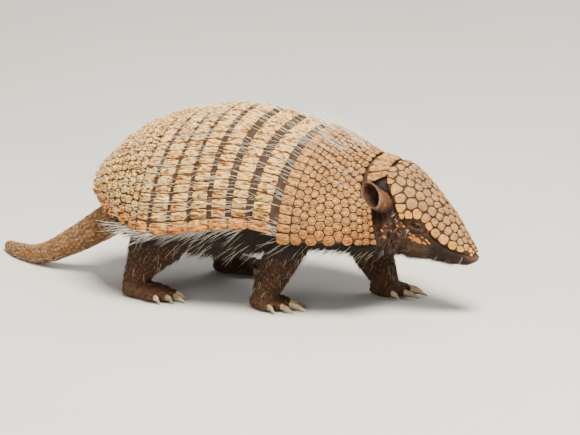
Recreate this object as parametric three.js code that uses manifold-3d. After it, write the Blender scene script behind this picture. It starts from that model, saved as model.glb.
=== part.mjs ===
// A six-banded armadillo at life size, walking, as a set of closed solids.
// Millimetres. +X is forward (the head), +Y is the animal's left, +Z is up, and the floor is Z = 0.
import * as THREE from 'three';
import { mergeVertices } from 'three/addons/utils/BufferGeometryUtils.js';
import Module from 'manifold-3d';

const wasm = await Module();
wasm.setup();

const GAP = 0.4;
const RAD = Math.PI / 180;
const FRAME_SHIFT = { x: 65, y: 0 };

const COLOR = { shell: 0xc09a6c, flesh: 0x4a382c, ear: 0x6b4c38, eye: 0x0c0908, claw: 0xb59a72 };

// The carapace is a row of arches. Each list runs from the shoulder edge (t = 0) to the rump (t = 1).
const SHELL = {
  t: [0, 0.18, 0.36, 0.54, 0.72, 0.88, 1],
  x: [107, 48, 12, -34.5, -92, -142, -179],
  top: [147, 161.5, 168, 178, 171.5, 151.5, 117],
  halfWidth: [56, 81, 85.5, 89, 91, 69, 30],
  lean: [-15, 0, 3, -2, 3, 0, -2],
  sweep: [11, 11, 11, 11, 11, 11, 8],
  edgeT: [0, 0.18, 0.265, 0.31, 0.45, 0.56, 0.72, 0.88, 1],
  edge: [74, 73, 74.5, 82, 84, 80, 71.5, 79, 90],
  apron: 12,
  roundness: 2.18,
  thickness: 3.2,
  angleSteps: 18,
};
const BELLY = {
  z: [53, 56, 50, 42, 39, 47, 56],
  roundness: [2, 1.7, 1.8, 2.1, 2.2, 2.2, 2.2],
  tuck: 9,
  frontTuck: 15,
  clearance: 0.8,
  domeInset: 0.4,
  domeRise: 5,
};
const TRUNK_RINGS = 14;
const BELLY_STEPS = 8;

// The seven gaps of bare skin that part the six bands, from the shoulder to the rump.
const GAPS = { t: [0.281, 0.394, 0.47, 0.537, 0.601, 0.663, 0.725], width: [8, 7, 6, 5, 4, 3.5, 4] };

// Head sections: the crown point, the throat or chin point, the widest level, and the half-width.
const HEAD = {
  t: [0, 0.1, 0.2, 0.3, 0.4, 0.5, 0.6, 0.7, 0.8, 0.9, 1],
  topX: [107, 114, 122, 131, 141, 151, 160, 168, 175.5, 182, 186],
  topZ: [139, 138.5, 133, 125.5, 116, 106, 96.5, 86, 74.5, 65, 58],
  lowX: [117, 121, 126, 132, 140, 149, 158, 166, 172.5, 177.5, 181.5],
  lowZ: [51, 50, 50.5, 51, 50.5, 49.5, 48.5, 48, 47.5, 48, 50.5],
  level: [105, 104, 100, 96, 89, 79, 71.5, 66, 62.5, 58.5, 55],
  halfWidth: [34, 35, 35, 33, 29.5, 26, 22, 18, 14, 10.5, 7],
  upperRoundness: 2.3,
  lowerRoundness: 1.9,
  crownSteps: 10,
  cheekSteps: 4,
};
const NECK_SIDES = 20;
const HEAD_SHIELD = {
  halfAngle: [64, 86, 98, 92, 85.5, 90, 92, 92, 90, 84, 70],
  thickness: 2.6,
  clearance: 1.3,
  from: 0.01,
  to: 0.96,
  lengthSteps: 10,
  steps: 8,
};
const NUCHAL = { from: 0.1, to: 0.84, halfAngle: 46, thickness: 2.8, lift: 0.9 };
const EYE = { x: 136, y: 26.6, z: 86.5, radius: 4.8, socket: 6.4, socketOut: 4.6 };

const TAIL = {
  path: [
    [-150, 0, 72], [-172, 0, 62], [-190, 0, 50], [-210, 1, 37], [-232, 4, 24],
    [-254, 9, 12.5], [-275, 18, 7.4], [-296, 31, 5.9], [-310, 46, 4.2],
  ],
  radius: [17, 15.5, 14.5, 13, 11, 9.5, 8, 6.5, 4.8],
  rings: 12,
  sides: 10,
};

// Each leg: stations of its centre line with the half-depth fore and aft and the half-width across.
const LEGS = {
  fore_right: {
    path: [
      [36, -36, 100], [27, -43, 80], [17, -47, 63], [9, -47, 46],
      [1, -46, 30], [-5, -46, 17], [-7, -46, 9],
    ],
    deep: [24, 22, 18.5, 16, 14.5, 12.5, 11],
    wide: [18, 18, 17, 15, 13, 12.5, 12],
    foot: 'fore', side: -1, heel: [-18, -46], heading: -4,
  },
  fore_left: {
    path: [
      [62, 36, 100], [54, 41, 80], [56, 42, 62], [65, 40, 42],
      [74, 39, 26], [80, 38, 14], [82, 38, 8],
    ],
    deep: [25, 24, 23, 20, 16, 12.5, 11],
    wide: [18, 18, 17, 15.5, 14, 12.5, 12],
    foot: 'fore', side: 1, heel: [68, 38], heading: 4,
  },
  hind_right: {
    path: [
      [-112, -36, 100], [-106, -46, 80], [-108, -52, 64], [-116, -54, 49],
      [-125, -54, 33], [-132, -54, 19], [-134, -54, 10],
    ],
    deep: [32, 33, 31, 25, 16, 12.5, 11.5],
    wide: [18, 19, 18.5, 17, 14, 12, 12],
    foot: 'hind', side: -1, heel: [-144, -54], heading: -8,
  },
  hind_left: {
    path: [
      [-100, 36, 100], [-86, 46, 80], [-74, 51, 63], [-73, 53, 48],
      [-80, 53, 32], [-86, 53, 19], [-88, 53, 10],
    ],
    deep: [31, 32, 27, 20, 15, 12.5, 11.5],
    wide: [18, 19, 18.5, 16.5, 14, 12, 12],
    foot: 'hind', side: 1, heel: [-98, 53], heading: 8,
  },
};
const LEG_RINGS = 7;
const LEG_SIDES = 10;

// Toes are listed from the inner side of the foot to the outer one.
const FEET = {
  fore: {
    length: 25, width: 29, height: 15,
    toeAcross: [11, 6, 0.5, -5.5, -10.5],
    toeBack: [9, 3, 1, 3, 9],
    toeLength: [9, 12, 13, 11, 8],
    splay: [26, 12, 0, -12, -26],
    clawLength: [9, 15, 16, 13, 9],
  },
  hind: {
    length: 42, width: 27, height: 16,
    toeAcross: [10, 5.2, 0, -5.2, -10],
    toeBack: [8, 2, 1, 3, 9],
    toeLength: [8, 11, 12, 10, 8],
    splay: [20, 9, 0, -9, -20],
    clawLength: [7, 10, 11, 9, 7],
  },
};
const TOE = { radius: 4.9, tipRadius: 3.9, z: 5.4, sides: 6 };
const PALM_SIDES = 10;
const CLAW = { halfHeight: 3.3, halfWidth: 2.5, tipZ: 1, sides: 5, rings: 2 };

const EAR = {
  base: [110, 29.5, 103], rim: [98, 39, 116],
  facing: [-0.35, 0.88, 0.32], long: [-0.69, -0.45, 0.57],
  baseRadii: [6.5, 6], rimRadii: [14, 9.5], wall: 1.7, floor: 0.3, steps: 3, sides: 10,
};

// ---------- small maths ----------

const lerp = (a, b, t) => a + (b - a) * t;

function smoothstep(low, high, value) {
  const t = Math.min(1, Math.max(0, (value - low) / (high - low)));
  return t * t * (3 - 2 * t);
}

// Smooth curve through (stations, values), evaluated at t.
function curveAt(stations, values, t) {
  const last = stations.length - 1;
  let i = 0;
  while (i < last - 1 && t > stations[i + 1]) i += 1;
  const slope = (k) => {
    const low = Math.max(0, k - 1);
    const high = Math.min(last, k + 1);
    return (values[high] - values[low]) / (stations[high] - stations[low]);
  };
  const span = stations[i + 1] - stations[i];
  const s = Math.min(1, Math.max(0, (t - stations[i]) / span));
  const s2 = s * s;
  const s3 = s2 * s;
  return (2 * s3 - 3 * s2 + 1) * values[i] + (s3 - 2 * s2 + s) * span * slope(i)
    + (3 * s2 - 2 * s3) * values[i + 1] + (s3 - s2) * span * slope(i + 1);
}

const power = (value, exponent) => Math.sign(value) * Math.abs(value) ** exponent;
const evenly = (count) => Array.from({ length: count + 1 }, (_, i) => i / count);

// ---------- geometry and solids ----------

function geometryFrom(points, triangles) {
  const geometry = new THREE.BufferGeometry();
  geometry.setAttribute('position', new THREE.Float32BufferAttribute(points.flatMap((p) => p.toArray()), 3));
  geometry.setIndex(triangles.flat());
  if (signedVolume(geometry) < 0) geometry.setIndex(triangles.flatMap(([a, b, c]) => [a, c, b]));
  return geometry;
}

function signedVolume(geometry) {
  const p = geometry.getAttribute('position');
  const index = geometry.getIndex().array;
  const corner = (i) => new THREE.Vector3().fromBufferAttribute(p, index[i]);
  let sum = 0;
  for (let i = 0; i < index.length; i += 3) sum += corner(i).dot(corner(i + 1).cross(corner(i + 2)));
  return sum / 6;
}

// Closed solid over a list of rings with equal point counts, capped at both ends.
function loft(rings) {
  const n = rings[0].length;
  const points = rings.flat();
  const triangles = [];
  for (let i = 0; i + 1 < rings.length; i += 1) {
    for (let j = 0; j < n; j += 1) {
      const k = (j + 1) % n;
      triangles.push([i * n + j, i * n + k, (i + 1) * n + k], [i * n + j, (i + 1) * n + k, (i + 1) * n + j]);
    }
  }
  for (const [ring, start] of [[rings[0], 0], [rings.at(-1), (rings.length - 1) * n]]) {
    const centre = ring.reduce((sum, p) => sum.add(p), new THREE.Vector3()).divideScalar(n);
    const c = points.push(centre) - 1;
    for (let j = 0; j < n; j += 1) {
      const k = (j + 1) % n;
      triangles.push(start === 0 ? [c, start + k, start + j] : [c, start + j, start + k]);
    }
  }
  return geometryFrom(points, triangles);
}

// Closed plate between an outer and an inner sheet, both given as grids of points.
function plate(outer, inner) {
  const rows = outer.length;
  const cols = outer[0].length;
  const points = [...outer.flat(), ...inner.flat()];
  const out = (i, j) => i * cols + j;
  const into = (i, j) => rows * cols + i * cols + j;
  const triangles = [];
  const quad = (a, b, c, d) => triangles.push([a, b, c], [a, c, d]);
  for (let i = 0; i + 1 < rows; i += 1) {
    for (let j = 0; j + 1 < cols; j += 1) {
      quad(out(i, j), out(i, j + 1), out(i + 1, j + 1), out(i + 1, j));
      quad(into(i, j), into(i + 1, j), into(i + 1, j + 1), into(i, j + 1));
    }
    quad(out(i, 0), out(i + 1, 0), into(i + 1, 0), into(i, 0));
    quad(out(i + 1, cols - 1), out(i, cols - 1), into(i, cols - 1), into(i + 1, cols - 1));
  }
  for (let j = 0; j + 1 < cols; j += 1) {
    quad(out(0, j + 1), out(0, j), into(0, j), into(0, j + 1));
    quad(out(rows - 1, j), out(rows - 1, j + 1), into(rows - 1, j + 1), into(rows - 1, j));
  }
  return geometryFrom(points, triangles);
}

function toSolid(geometry) {
  const bare = geometry.clone();
  bare.deleteAttribute('normal');
  bare.deleteAttribute('uv');
  const merged = mergeVertices(bare, 1e-4);
  return new wasm.Manifold(new wasm.Mesh({
    numProp: 3,
    vertProperties: new Float32Array(merged.getAttribute('position').array),
    triVerts: new Uint32Array(merged.getIndex().array),
  }));
}

function toGeometry(solid) {
  const mesh = solid.getMesh();
  const geometry = new THREE.BufferGeometry();
  const position = new Float32Array(mesh.numVert * 3);
  for (let i = 0; i < mesh.numVert; i += 1) {
    for (let k = 0; k < 3; k += 1) position[i * 3 + k] = mesh.vertProperties[i * mesh.numProp + k];
  }
  geometry.setAttribute('position', new THREE.BufferAttribute(position, 3));
  geometry.setIndex(new THREE.BufferAttribute(new Uint32Array(mesh.triVerts), 1));
  return geometry;
}

const join = (solids) => solids.reduce((sum, next) => sum.add(next));
const cutAway = (solid, cutters) => cutters.reduce((left, cutter) => left.subtract(cutter), solid);

// Keeps what is above the floor, which leaves the small flats that the animal rests on.
function trimAtFloor(solid) {
  const size = 1000;
  const below = new THREE.BoxGeometry(size, size, size).translate(0, 0, -size / 2);
  return solid.subtract(toSolid(below));
}

// ---------- carapace ----------

const shellAt = (name, t) => curveAt(SHELL.t, SHELL[name], t);

// Point of the carapace: t along the body, angle from the ridge (90 is the lower edge), depth inwards.
// Angles past 90 degrees go round the belly.
function bodyPoint(t, angle, depth, bellyGrow = 0) {
  const edge = curveAt(SHELL.edgeT, SHELL.edge, t);
  const lean = shellAt('lean', t) * RAD;
  const under = Math.abs(angle) > 90;
  const exponent = 2 / (under ? curveAt(SHELL.t, BELLY.roundness, t) : SHELL.roundness);
  const across = power(Math.sin(angle * RAD), exponent);
  const crown = power(Math.cos(angle * RAD), exponent);
  const drop = edge - curveAt(SHELL.t, BELLY.z, t) + bellyGrow;
  const rise = crown * (under ? drop : shellAt('top', t) - edge - depth);
  const apronSide = smoothstep(50, 68, Math.abs(angle)) * (1 - smoothstep(90, 125, Math.abs(angle)));
  const apron = SHELL.apron * apronSide * (1 - smoothstep(0, 0.15, t));
  const back = apron - shellAt('sweep', t) * Math.abs(across) ** 1.5;
  return new THREE.Vector3(
    shellAt('x', t) + rise * Math.sin(lean) + back * Math.cos(lean),
    across * (shellAt('halfWidth', t) - depth),
    edge + rise * Math.cos(lean) - back * Math.sin(lean),
  );
}

const shellAngles = evenly(SHELL.angleSteps).map((s) => 90 - 180 * s);

function shellPlate(from, to, steps) {
  const row = (t, depth) => shellAngles.map((a) => bodyPoint(t, a, depth));
  const sheet = (depth) => evenly(steps).map((s) => row(lerp(from, to, s), depth));
  return plate(sheet(0), sheet(SHELL.thickness));
}

// The gap's half-width as a share of the body's length at that place.
function halfGap(i) {
  const step = 0.01;
  const t = GAPS.t[i];
  const length = shellAt('x', t - step) - shellAt('x', t + step);
  return (GAPS.width[i] / 2) * ((2 * step) / length);
}

// ---------- flesh ----------

function trunkRing(t, grow) {
  const bellyAngles = evenly(BELLY_STEPS).map((s) => -90 - 180 * s).slice(1, -1);
  return [...shellAngles, ...bellyAngles].map((a) => {
    const lowerTuck = BELLY.tuck * smoothstep(55, 90, Math.min(90, Math.abs(a)));
    const frontTuck = BELLY.frontTuck * (1 - smoothstep(0, 0.14, t)) * smoothstep(25, 60, Math.abs(a));
    const tuck = Math.max(lowerTuck, frontTuck);
    const wrapped = a < -180 ? a + 360 : a;
    return bodyPoint(t, wrapped, SHELL.thickness + BELLY.clearance + tuck - grow, grow);
  });
}

const slide = (ring, x) => ring.map((p) => p.clone().setX(p.x + x));

// A loft whose first and last rings move out along X, so that a grown copy clears the end faces too.
function bodyLoft(rings, firstShift, lastShift) {
  return loft([slide(rings[0], firstShift), ...rings.slice(1, -1), slide(rings.at(-1), lastShift)]);
}

// The rump closes with a low dome behind the last ring of the shell.
function trunk(grow = 0) {
  const rings = evenly(TRUNK_RINGS).map((t) => trunkRing(t, grow));
  const last = rings.at(-1);
  const centre = last.reduce((sum, p) => sum.add(p), new THREE.Vector3()).divideScalar(last.length);
  const dome = last.map((p) => p.clone().lerp(centre, BELLY.domeInset));
  return bodyLoft([...rings, slide(dome, -BELLY.domeRise)], grow, -grow);
}

const headAt = (name, t) => curveAt(HEAD.t, HEAD[name], t);

// Point of the head: t from the nape to the nose, angle from the crown (180 is the chin).
function headPoint(t, angle, grow) {
  const up = Math.abs(angle) <= 90;
  const exponent = 2 / (up ? HEAD.upperRoundness : HEAD.lowerRoundness);
  const level = headAt('level', t);
  const top = headAt('topZ', t);
  const low = headAt('lowZ', t);
  const crown = power(Math.cos(angle * RAD), exponent);
  const z = level + crown * (up ? top - level + grow : level - low + grow);
  const share = (z - low) / (top - low);
  return new THREE.Vector3(
    lerp(headAt('lowX', t), headAt('topX', t), share),
    power(Math.sin(angle * RAD), exponent) * (headAt('halfWidth', t) + grow),
    z,
  );
}

const shieldMargin = (t) => curveAt(HEAD.t, HEAD_SHIELD.halfAngle, t);

const shieldStations = (reach) => evenly(HEAD_SHIELD.lengthSteps)
  .map((s) => lerp(HEAD_SHIELD.from - reach, HEAD_SHIELD.to + reach, s));

// The flesh lies lower under the head shield than beside it, with a step just past the shield's margin.
function headFleshRing(t, grow) {
  const bed = shieldMargin(t) + lerp(11, 5, smoothstep(0.1, 0.4, t)) - 3 * grow;
  const rim = bed + 3;
  const sunk = HEAD_SHIELD.thickness + HEAD_SHIELD.clearance;
  const crown = evenly(HEAD.crownSteps).map((s) => headPoint(t, lerp(bed, -bed, s), grow - sunk));
  const cheek = (side) => evenly(HEAD.cheekSteps).map((s) => headPoint(t, side * lerp(rim, 180, s), grow));
  return [...crown, ...cheek(-1), ...cheek(1).slice(0, -1).reverse()];
}

const roundAngles = (sides) => evenly(sides).slice(0, -1).map((s) => 180 - 360 * s);

function headFlesh(grow = 0) {
  const rings = [0, ...shieldStations(0), 1].map((t) => headFleshRing(t, grow));
  const tip = rings.at(-1);
  const centre = tip.reduce((sum, p) => sum.add(p), new THREE.Vector3()).divideScalar(tip.length);
  const nose = tip.map((p) => p.clone().lerp(centre, 0.45).add(new THREE.Vector3(2, 0, -0.6)));
  return bodyLoft([...rings, nose], -grow, grow);
}

function headShield(grow = 0) {
  const sheet = (depth) => shieldStations(grow / 80).map((t) => evenly(HEAD_SHIELD.steps).map((s) => {
    const margin = shieldMargin(t) + grow;
    return headPoint(t, lerp(margin, -margin, s), -depth);
  }));
  return plate(sheet(-grow), sheet(HEAD_SHIELD.thickness + grow));
}

// The neck runs from the trunk's front ring, drawn in a little, to the head's rear ring.
function neckPoint(s, angle, grow) {
  const tuck = BELLY.frontTuck * smoothstep(25, 60, Math.abs(angle));
  const from = bodyPoint(0, angle, SHELL.thickness + BELLY.clearance + tuck - grow, grow);
  const to = headPoint(0, angle, grow - HEAD_SHIELD.thickness);
  const waist = -1.5 * Math.sin(Math.PI * s) * smoothstep(60, 110, Math.abs(angle));
  const point = from.lerp(to, s);
  point.y *= 1 + waist / 40;
  return point;
}

function neck(grow = 0) {
  const angles = roundAngles(NECK_SIDES);
  const reach = [0.03, 0.25, 0.5, 0.75, 0.97];
  return bodyLoft(reach.map((s) => angles.map((a) => neckPoint(s, a, grow))), -grow, grow);
}

function nuchalBand(grow = 0) {
  const halfAngle = NUCHAL.halfAngle + 2 * grow;
  const reach = grow / 15;
  const stations = [NUCHAL.from - reach, 0.45, NUCHAL.to + reach];
  const sheet = (lift) => stations.map((s) => evenly(12).map((k) => {
    const point = neckPoint(s, lerp(halfAngle, -halfAngle, k), 0);
    const crown = new THREE.Vector3(point.x, 0, headAt('level', 0));
    return point.add(point.clone().sub(crown).normalize().multiplyScalar(lift));
  }));
  return plate(sheet(NUCHAL.lift + NUCHAL.thickness + grow), sheet(NUCHAL.lift - grow));
}

// Rings square to a smooth path, with half-depth fore and aft and half-width across.
function tubeRings(path, deep, wide, count, sides) {
  const curve = new THREE.CatmullRomCurve3(path.map((p) => new THREE.Vector3(...p)), false, 'centripetal');
  const stations = evenly(path.length - 1);
  return evenly(count).map((t) => {
    const centre = curve.getPoint(t);
    const along = curve.getTangent(t);
    const fore = new THREE.Vector3(0, 1, 0).cross(along).normalize();
    const across = along.clone().cross(fore).normalize();
    const a = curveAt(stations, deep, t);
    const b = curveAt(stations, wide, t);
    return evenly(sides).slice(0, -1).map((s) => centre.clone()
      .addScaledVector(fore, a * Math.cos(2 * Math.PI * s))
      .addScaledVector(across, b * Math.sin(2 * Math.PI * s)));
  });
}

function tail() {
  const rings = tubeRings(TAIL.path, TAIL.radius, TAIL.radius, TAIL.rings, TAIL.sides);
  const end = rings.at(-1);
  const centre = end.reduce((sum, p) => sum.add(p), new THREE.Vector3()).divideScalar(end.length);
  const ahead = centre.clone().sub(new THREE.Vector3(...TAIL.path.at(-2))).setZ(0).normalize();
  for (const [shrink, reach] of [[0.75, 4], [0.35, 7]]) {
    const moved = centre.clone().addScaledVector(ahead, reach);
    rings.push(end.map((p) => p.clone().sub(centre).multiplyScalar(shrink).add(moved)));
  }
  return toSolid(loft(rings));
}

// ---------- feet ----------

// Turns foot coordinates (ahead of the heel, towards the inner side, up) into the model's frame.
function footFrame(leg) {
  const heading = leg.heading * RAD;
  const inward = -leg.side;
  return (ahead, inner, z) => new THREE.Vector3(
    leg.heel[0] + ahead * Math.cos(heading) - inner * inward * Math.sin(heading),
    leg.heel[1] + ahead * Math.sin(heading) + inner * inward * Math.cos(heading),
    z,
  );
}

function palm(leg, foot) {
  const place = footFrame(leg);
  const stations = [
    [0, 0.45, 0.5], [0.06, 0.72, 0.75], [0.3, 0.85, 1],
    [0.65, 1, 0.95], [0.92, 0.92, 0.75], [1.06, 0.7, 0.5],
  ];
  const rings = stations.map(([ahead, wide, tall]) => evenly(PALM_SIDES).slice(0, -1).map((s) => place(
    ahead * foot.length,
    power(Math.cos(2 * Math.PI * s), 0.8) * wide * foot.width / 2,
    foot.height * 0.42 + power(Math.sin(2 * Math.PI * s), 0.8) * tall * foot.height * 0.5,
  )));
  return toSolid(loft(rings));
}

// The toe's start and end in foot coordinates, and its direction.
function toeLine(foot, i) {
  const splay = foot.splay[i] * RAD;
  const start = foot.length - foot.toeBack[i] - 3;
  const length = foot.toeLength[i] + 3;
  return {
    start: [start, foot.toeAcross[i]],
    end: [start + length * Math.cos(splay), foot.toeAcross[i] + length * Math.sin(splay)],
    ahead: Math.cos(splay),
    inner: Math.sin(splay),
  };
}

function toe(leg, foot, i) {
  const place = footFrame(leg);
  const line = toeLine(foot, i);
  const rings = [[-0.25, 1], [0.6, 1.02], [1, 0.8]].map(([s, size]) => {
    const radius = lerp(TOE.radius, TOE.tipRadius, s) * size;
    const ahead = lerp(line.start[0], line.end[0], s);
    const inner = lerp(line.start[1], line.end[1], s);
    return evenly(TOE.sides).slice(0, -1).map((k) => {
      const side = radius * Math.cos(2 * Math.PI * k);
      const up = TOE.z + radius * Math.sin(2 * Math.PI * k);
      return place(ahead - side * line.inner, inner + side * line.ahead, up);
    });
  });
  return toSolid(loft(rings));
}

// A curved, pointed claw that starts a gap ahead of its toe and comes down to the floor.
function claw(leg, foot, i) {
  const place = footFrame(leg);
  const line = toeLine(foot, i);
  const length = foot.clawLength[i];
  const rings = evenly(CLAW.rings).map((s) => {
    const reach = GAP + length * s;
    const thin = 1 - 0.82 * s ** 1.4;
    const z = lerp(TOE.z, CLAW.tipZ + CLAW.halfHeight * thin, s ** 1.6);
    return evenly(CLAW.sides).slice(0, -1).map((k) => {
      const side = CLAW.halfWidth * thin * Math.cos(2 * Math.PI * k);
      return place(
        line.end[0] + reach * line.ahead - side * line.inner,
        line.end[1] + reach * line.inner + side * line.ahead,
        z + CLAW.halfHeight * thin * Math.sin(2 * Math.PI * k),
      );
    });
  });
  return loft(rings);
}

function legSolid(leg, grown) {
  const foot = FEET[leg.foot];
  const limb = toSolid(loft(tubeRings(leg.path, leg.deep, leg.wide, LEG_RINGS, LEG_SIDES)));
  const toes = foot.splay.map((_, i) => toe(leg, foot, i));
  return trimAtFloor(cutAway(join([limb, palm(leg, foot), ...toes]), [grown.trunk]));
}

// ---------- ears and eyes ----------

function ear(side, grown) {
  const mirror = ([x, y, z]) => new THREE.Vector3(x, side * y, z);
  const base = mirror(EAR.base);
  const rim = mirror(EAR.rim);
  const axis = rim.clone().sub(base).normalize();
  const ring = (t, wall) => {
    const facing = axis.clone().lerp(mirror(EAR.facing), smoothstep(0.2, 1, t)).normalize();
    const long = mirror(EAR.long).addScaledVector(facing, -mirror(EAR.long).dot(facing)).normalize();
    const short = facing.clone().cross(long);
    const swell = Math.sin(Math.PI * 0.5 * t);
    const a = lerp(EAR.baseRadii[0], EAR.rimRadii[0], swell) - wall;
    const b = lerp(EAR.baseRadii[1], EAR.rimRadii[1], swell) - wall;
    const centre = base.clone().lerp(rim, t);
    return evenly(EAR.sides).slice(0, -1).map((s) => centre.clone()
      .addScaledVector(long, a * Math.cos(2 * Math.PI * s))
      .addScaledVector(short, b * Math.sin(2 * Math.PI * s)));
  };
  const outside = evenly(EAR.steps).map((t) => ring(t, 0));
  const inside = evenly(EAR.steps - 1).map((s) => ring(lerp(1, EAR.floor, s), EAR.wall));
  return cutAway(toSolid(loft([...outside, ...inside])), Object.values(grown));
}

function ball(centre, radius) {
  return new THREE.SphereGeometry(radius, 12, 8).translate(...centre);
}

const eyeCentre = (side, out = 0) => [EYE.x, side * (EYE.y + out), EYE.z];

// ---------- the animal ----------

const armadillo = new THREE.Group();
armadillo.position.set(FRAME_SHIFT.x, FRAME_SHIFT.y, 0);

function add(name, geometry, color, roughness = 0.7) {
  const material = new THREE.MeshStandardMaterial({ color, roughness, metalness: 0 });
  const mesh = new THREE.Mesh(geometry, material);
  mesh.name = name;
  armadillo.add(mesh);
}

const grown = {
  trunk: toSolid(trunk(GAP)),
  neck: toSolid(neck(GAP)),
  head: toSolid(headFlesh(GAP)),
  nuchalBand: toSolid(nuchalBand(GAP)),
  headShield: toSolid(headShield(GAP)),
};
const sides = { right: -1, left: 1 };

add('trunk', trunk(), COLOR.flesh);
add('neck', toGeometry(cutAway(toSolid(neck()), [grown.trunk])), COLOR.flesh);

const sockets = Object.values(sides).flatMap((side) => [
  toSolid(ball(eyeCentre(side), EYE.radius + GAP)),
  toSolid(ball(eyeCentre(side, EYE.socketOut), EYE.socket)),
]);
add('head', toGeometry(cutAway(toSolid(headFlesh()), [grown.neck, ...sockets])), COLOR.flesh);
add('head_shield', headShield(), COLOR.shell);
add('nuchal_band', nuchalBand(), COLOR.shell);

add('scapular_shield', shellPlate(0, GAPS.t[0] - halfGap(0), 5), COLOR.shell);
for (let i = 0; i + 1 < GAPS.t.length; i += 1) {
  add(`band_${i + 1}`, shellPlate(GAPS.t[i] + halfGap(i), GAPS.t[i + 1] - halfGap(i + 1), 1), COLOR.shell);
}
add('pelvic_shield', shellPlate(GAPS.t.at(-1) + halfGap(GAPS.t.length - 1), 1, 6), COLOR.shell);

add('tail', toGeometry(trimAtFloor(cutAway(tail(), [grown.trunk]))), COLOR.flesh);

for (const [name, leg] of Object.entries(LEGS)) {
  const foot = FEET[leg.foot];
  add(`leg_${name}`, toGeometry(legSolid(leg, grown)), COLOR.flesh);
  foot.splay.forEach((_, i) => add(`claw_${name}_${i + 1}`, claw(leg, foot, i), COLOR.claw, 0.4));
}

for (const [name, side] of Object.entries(sides)) {
  add(`ear_${name}`, toGeometry(ear(side, grown)), COLOR.ear);
  add(`eye_${name}`, ball(eyeCentre(side), EYE.radius), COLOR.eye, 0.1);
}

export default armadillo;
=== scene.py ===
import bmesh
import bpy
import math
import numpy as np
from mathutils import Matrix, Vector
from mathutils.bvhtree import BVHTree


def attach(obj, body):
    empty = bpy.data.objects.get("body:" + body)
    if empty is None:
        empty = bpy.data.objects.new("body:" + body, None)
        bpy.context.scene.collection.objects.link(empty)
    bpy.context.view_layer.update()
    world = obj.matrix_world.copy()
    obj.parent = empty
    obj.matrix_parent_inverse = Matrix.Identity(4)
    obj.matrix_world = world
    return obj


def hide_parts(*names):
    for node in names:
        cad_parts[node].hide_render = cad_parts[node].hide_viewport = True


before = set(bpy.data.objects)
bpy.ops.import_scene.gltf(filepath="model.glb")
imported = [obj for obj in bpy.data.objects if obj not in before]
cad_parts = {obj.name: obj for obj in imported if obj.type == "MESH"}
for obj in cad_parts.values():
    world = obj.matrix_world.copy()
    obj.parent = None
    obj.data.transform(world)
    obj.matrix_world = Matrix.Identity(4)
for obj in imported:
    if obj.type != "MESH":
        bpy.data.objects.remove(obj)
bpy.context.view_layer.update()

# A six-banded armadillo. Shapes are worked out in millimetres, with +X forward, +Y left and +Z up.
# SHIFT moves them into the row frame, whose origin is at the middle of the model on the floor.
SHIFT = np.array([65.0, 0.0, 0.0])
MM = 0.001
RAD = math.pi / 180
RNG = np.random.default_rng(61)

# The CAD's own measures of the carapace and the head, by t from front to rear and from nape to nose.
SHELL_T = [0, 0.18, 0.36, 0.54, 0.72, 0.88, 1]
SHELL = {
    "x": [107, 48, 12, -34.5, -92, -142, -179],
    "top": [147, 161.5, 168, 178, 171.5, 151.5, 117],
    "halfWidth": [56, 81, 85.5, 89, 91, 69, 30],
    "lean": [-15, 0, 3, -2, 3, 0, -2],
    "sweep": [11, 11, 11, 11, 11, 11, 8],
}
EDGE_T = [0, 0.18, 0.265, 0.31, 0.45, 0.56, 0.72, 0.88, 1]
EDGE = [74, 73, 74.5, 82, 84, 80, 71.5, 79, 90]
APRON, APRON_ANGLES, APRON_END = 12, (50, 68), 0.15
SHELL_ROUNDNESS = 2.18
GAP_T = [0.281, 0.394, 0.47, 0.537, 0.601, 0.663, 0.725]
GAP_WIDTH = [8, 7, 6, 5, 4, 3.5, 4]
HEAD_T = [0, 0.1, 0.2, 0.3, 0.4, 0.5, 0.6, 0.7, 0.8, 0.9, 1]
HEAD = {
    "topX": [107, 114, 122, 131, 141, 151, 160, 168, 175.5, 182, 186],
    "topZ": [139, 138.5, 133, 125.5, 116, 106, 96.5, 86, 74.5, 65, 58],
    "lowX": [117, 121, 126, 132, 140, 149, 158, 166, 172.5, 177.5, 181.5],
    "lowZ": [51, 50, 50.5, 51, 50.5, 49.5, 48.5, 48, 47.5, 48, 50.5],
    "level": [105, 104, 100, 96, 89, 79, 71.5, 66, 62.5, 58.5, 55],
    "halfWidth": [34, 35, 35, 33, 29.5, 26, 22, 18, 14, 10.5, 7],
    "margin": [64, 86, 98, 92, 85.5, 90, 92, 92, 90, 84, 70],
}
HEAD_ROUNDNESS = (2.3, 1.9)
EYE = np.array([136, 26.6, 86.5])
EYE_RADIUS = 4.8

# ---------- the camera ----------

AIM = Vector((0.065, 0.0, 0.075))
AZIMUTH, ELEVATION, DISTANCE = 22, 15, 4.5
LENS, SENSOR = 300.3, 36.0
FRAME_PX = (580, 435)


def spherical(azimuth, elevation):
    a, e = azimuth * RAD, elevation * RAD
    return Vector((math.sin(a) * math.cos(e), -math.cos(a) * math.cos(e), math.sin(e)))


def linked(name, data):
    obj = bpy.data.objects.new(name, data)
    bpy.context.collection.objects.link(obj)
    return obj


def aimed(obj, azimuth, elevation, distance):
    """Put a camera or light at a distance from the aim, looking at it."""
    way = spherical(azimuth, elevation)
    obj.location = AIM + way * distance
    obj.rotation_euler = way.to_track_quat("Z", "Y").to_euler()


camera = linked("camera", bpy.data.cameras.new("camera"))
camera.data.lens, camera.data.sensor_width = LENS, SENSOR
aimed(camera, AZIMUTH, ELEVATION, DISTANCE)
bpy.context.scene.camera = camera

BACK = np.array(spherical(AZIMUTH, ELEVATION))
RIGHT = np.array([math.cos(AZIMUTH * RAD), math.sin(AZIMUTH * RAD), 0])
UP = np.cross(BACK, RIGHT)
PX_SCALE = LENS / SENSOR * FRAME_PX[0]


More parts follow.
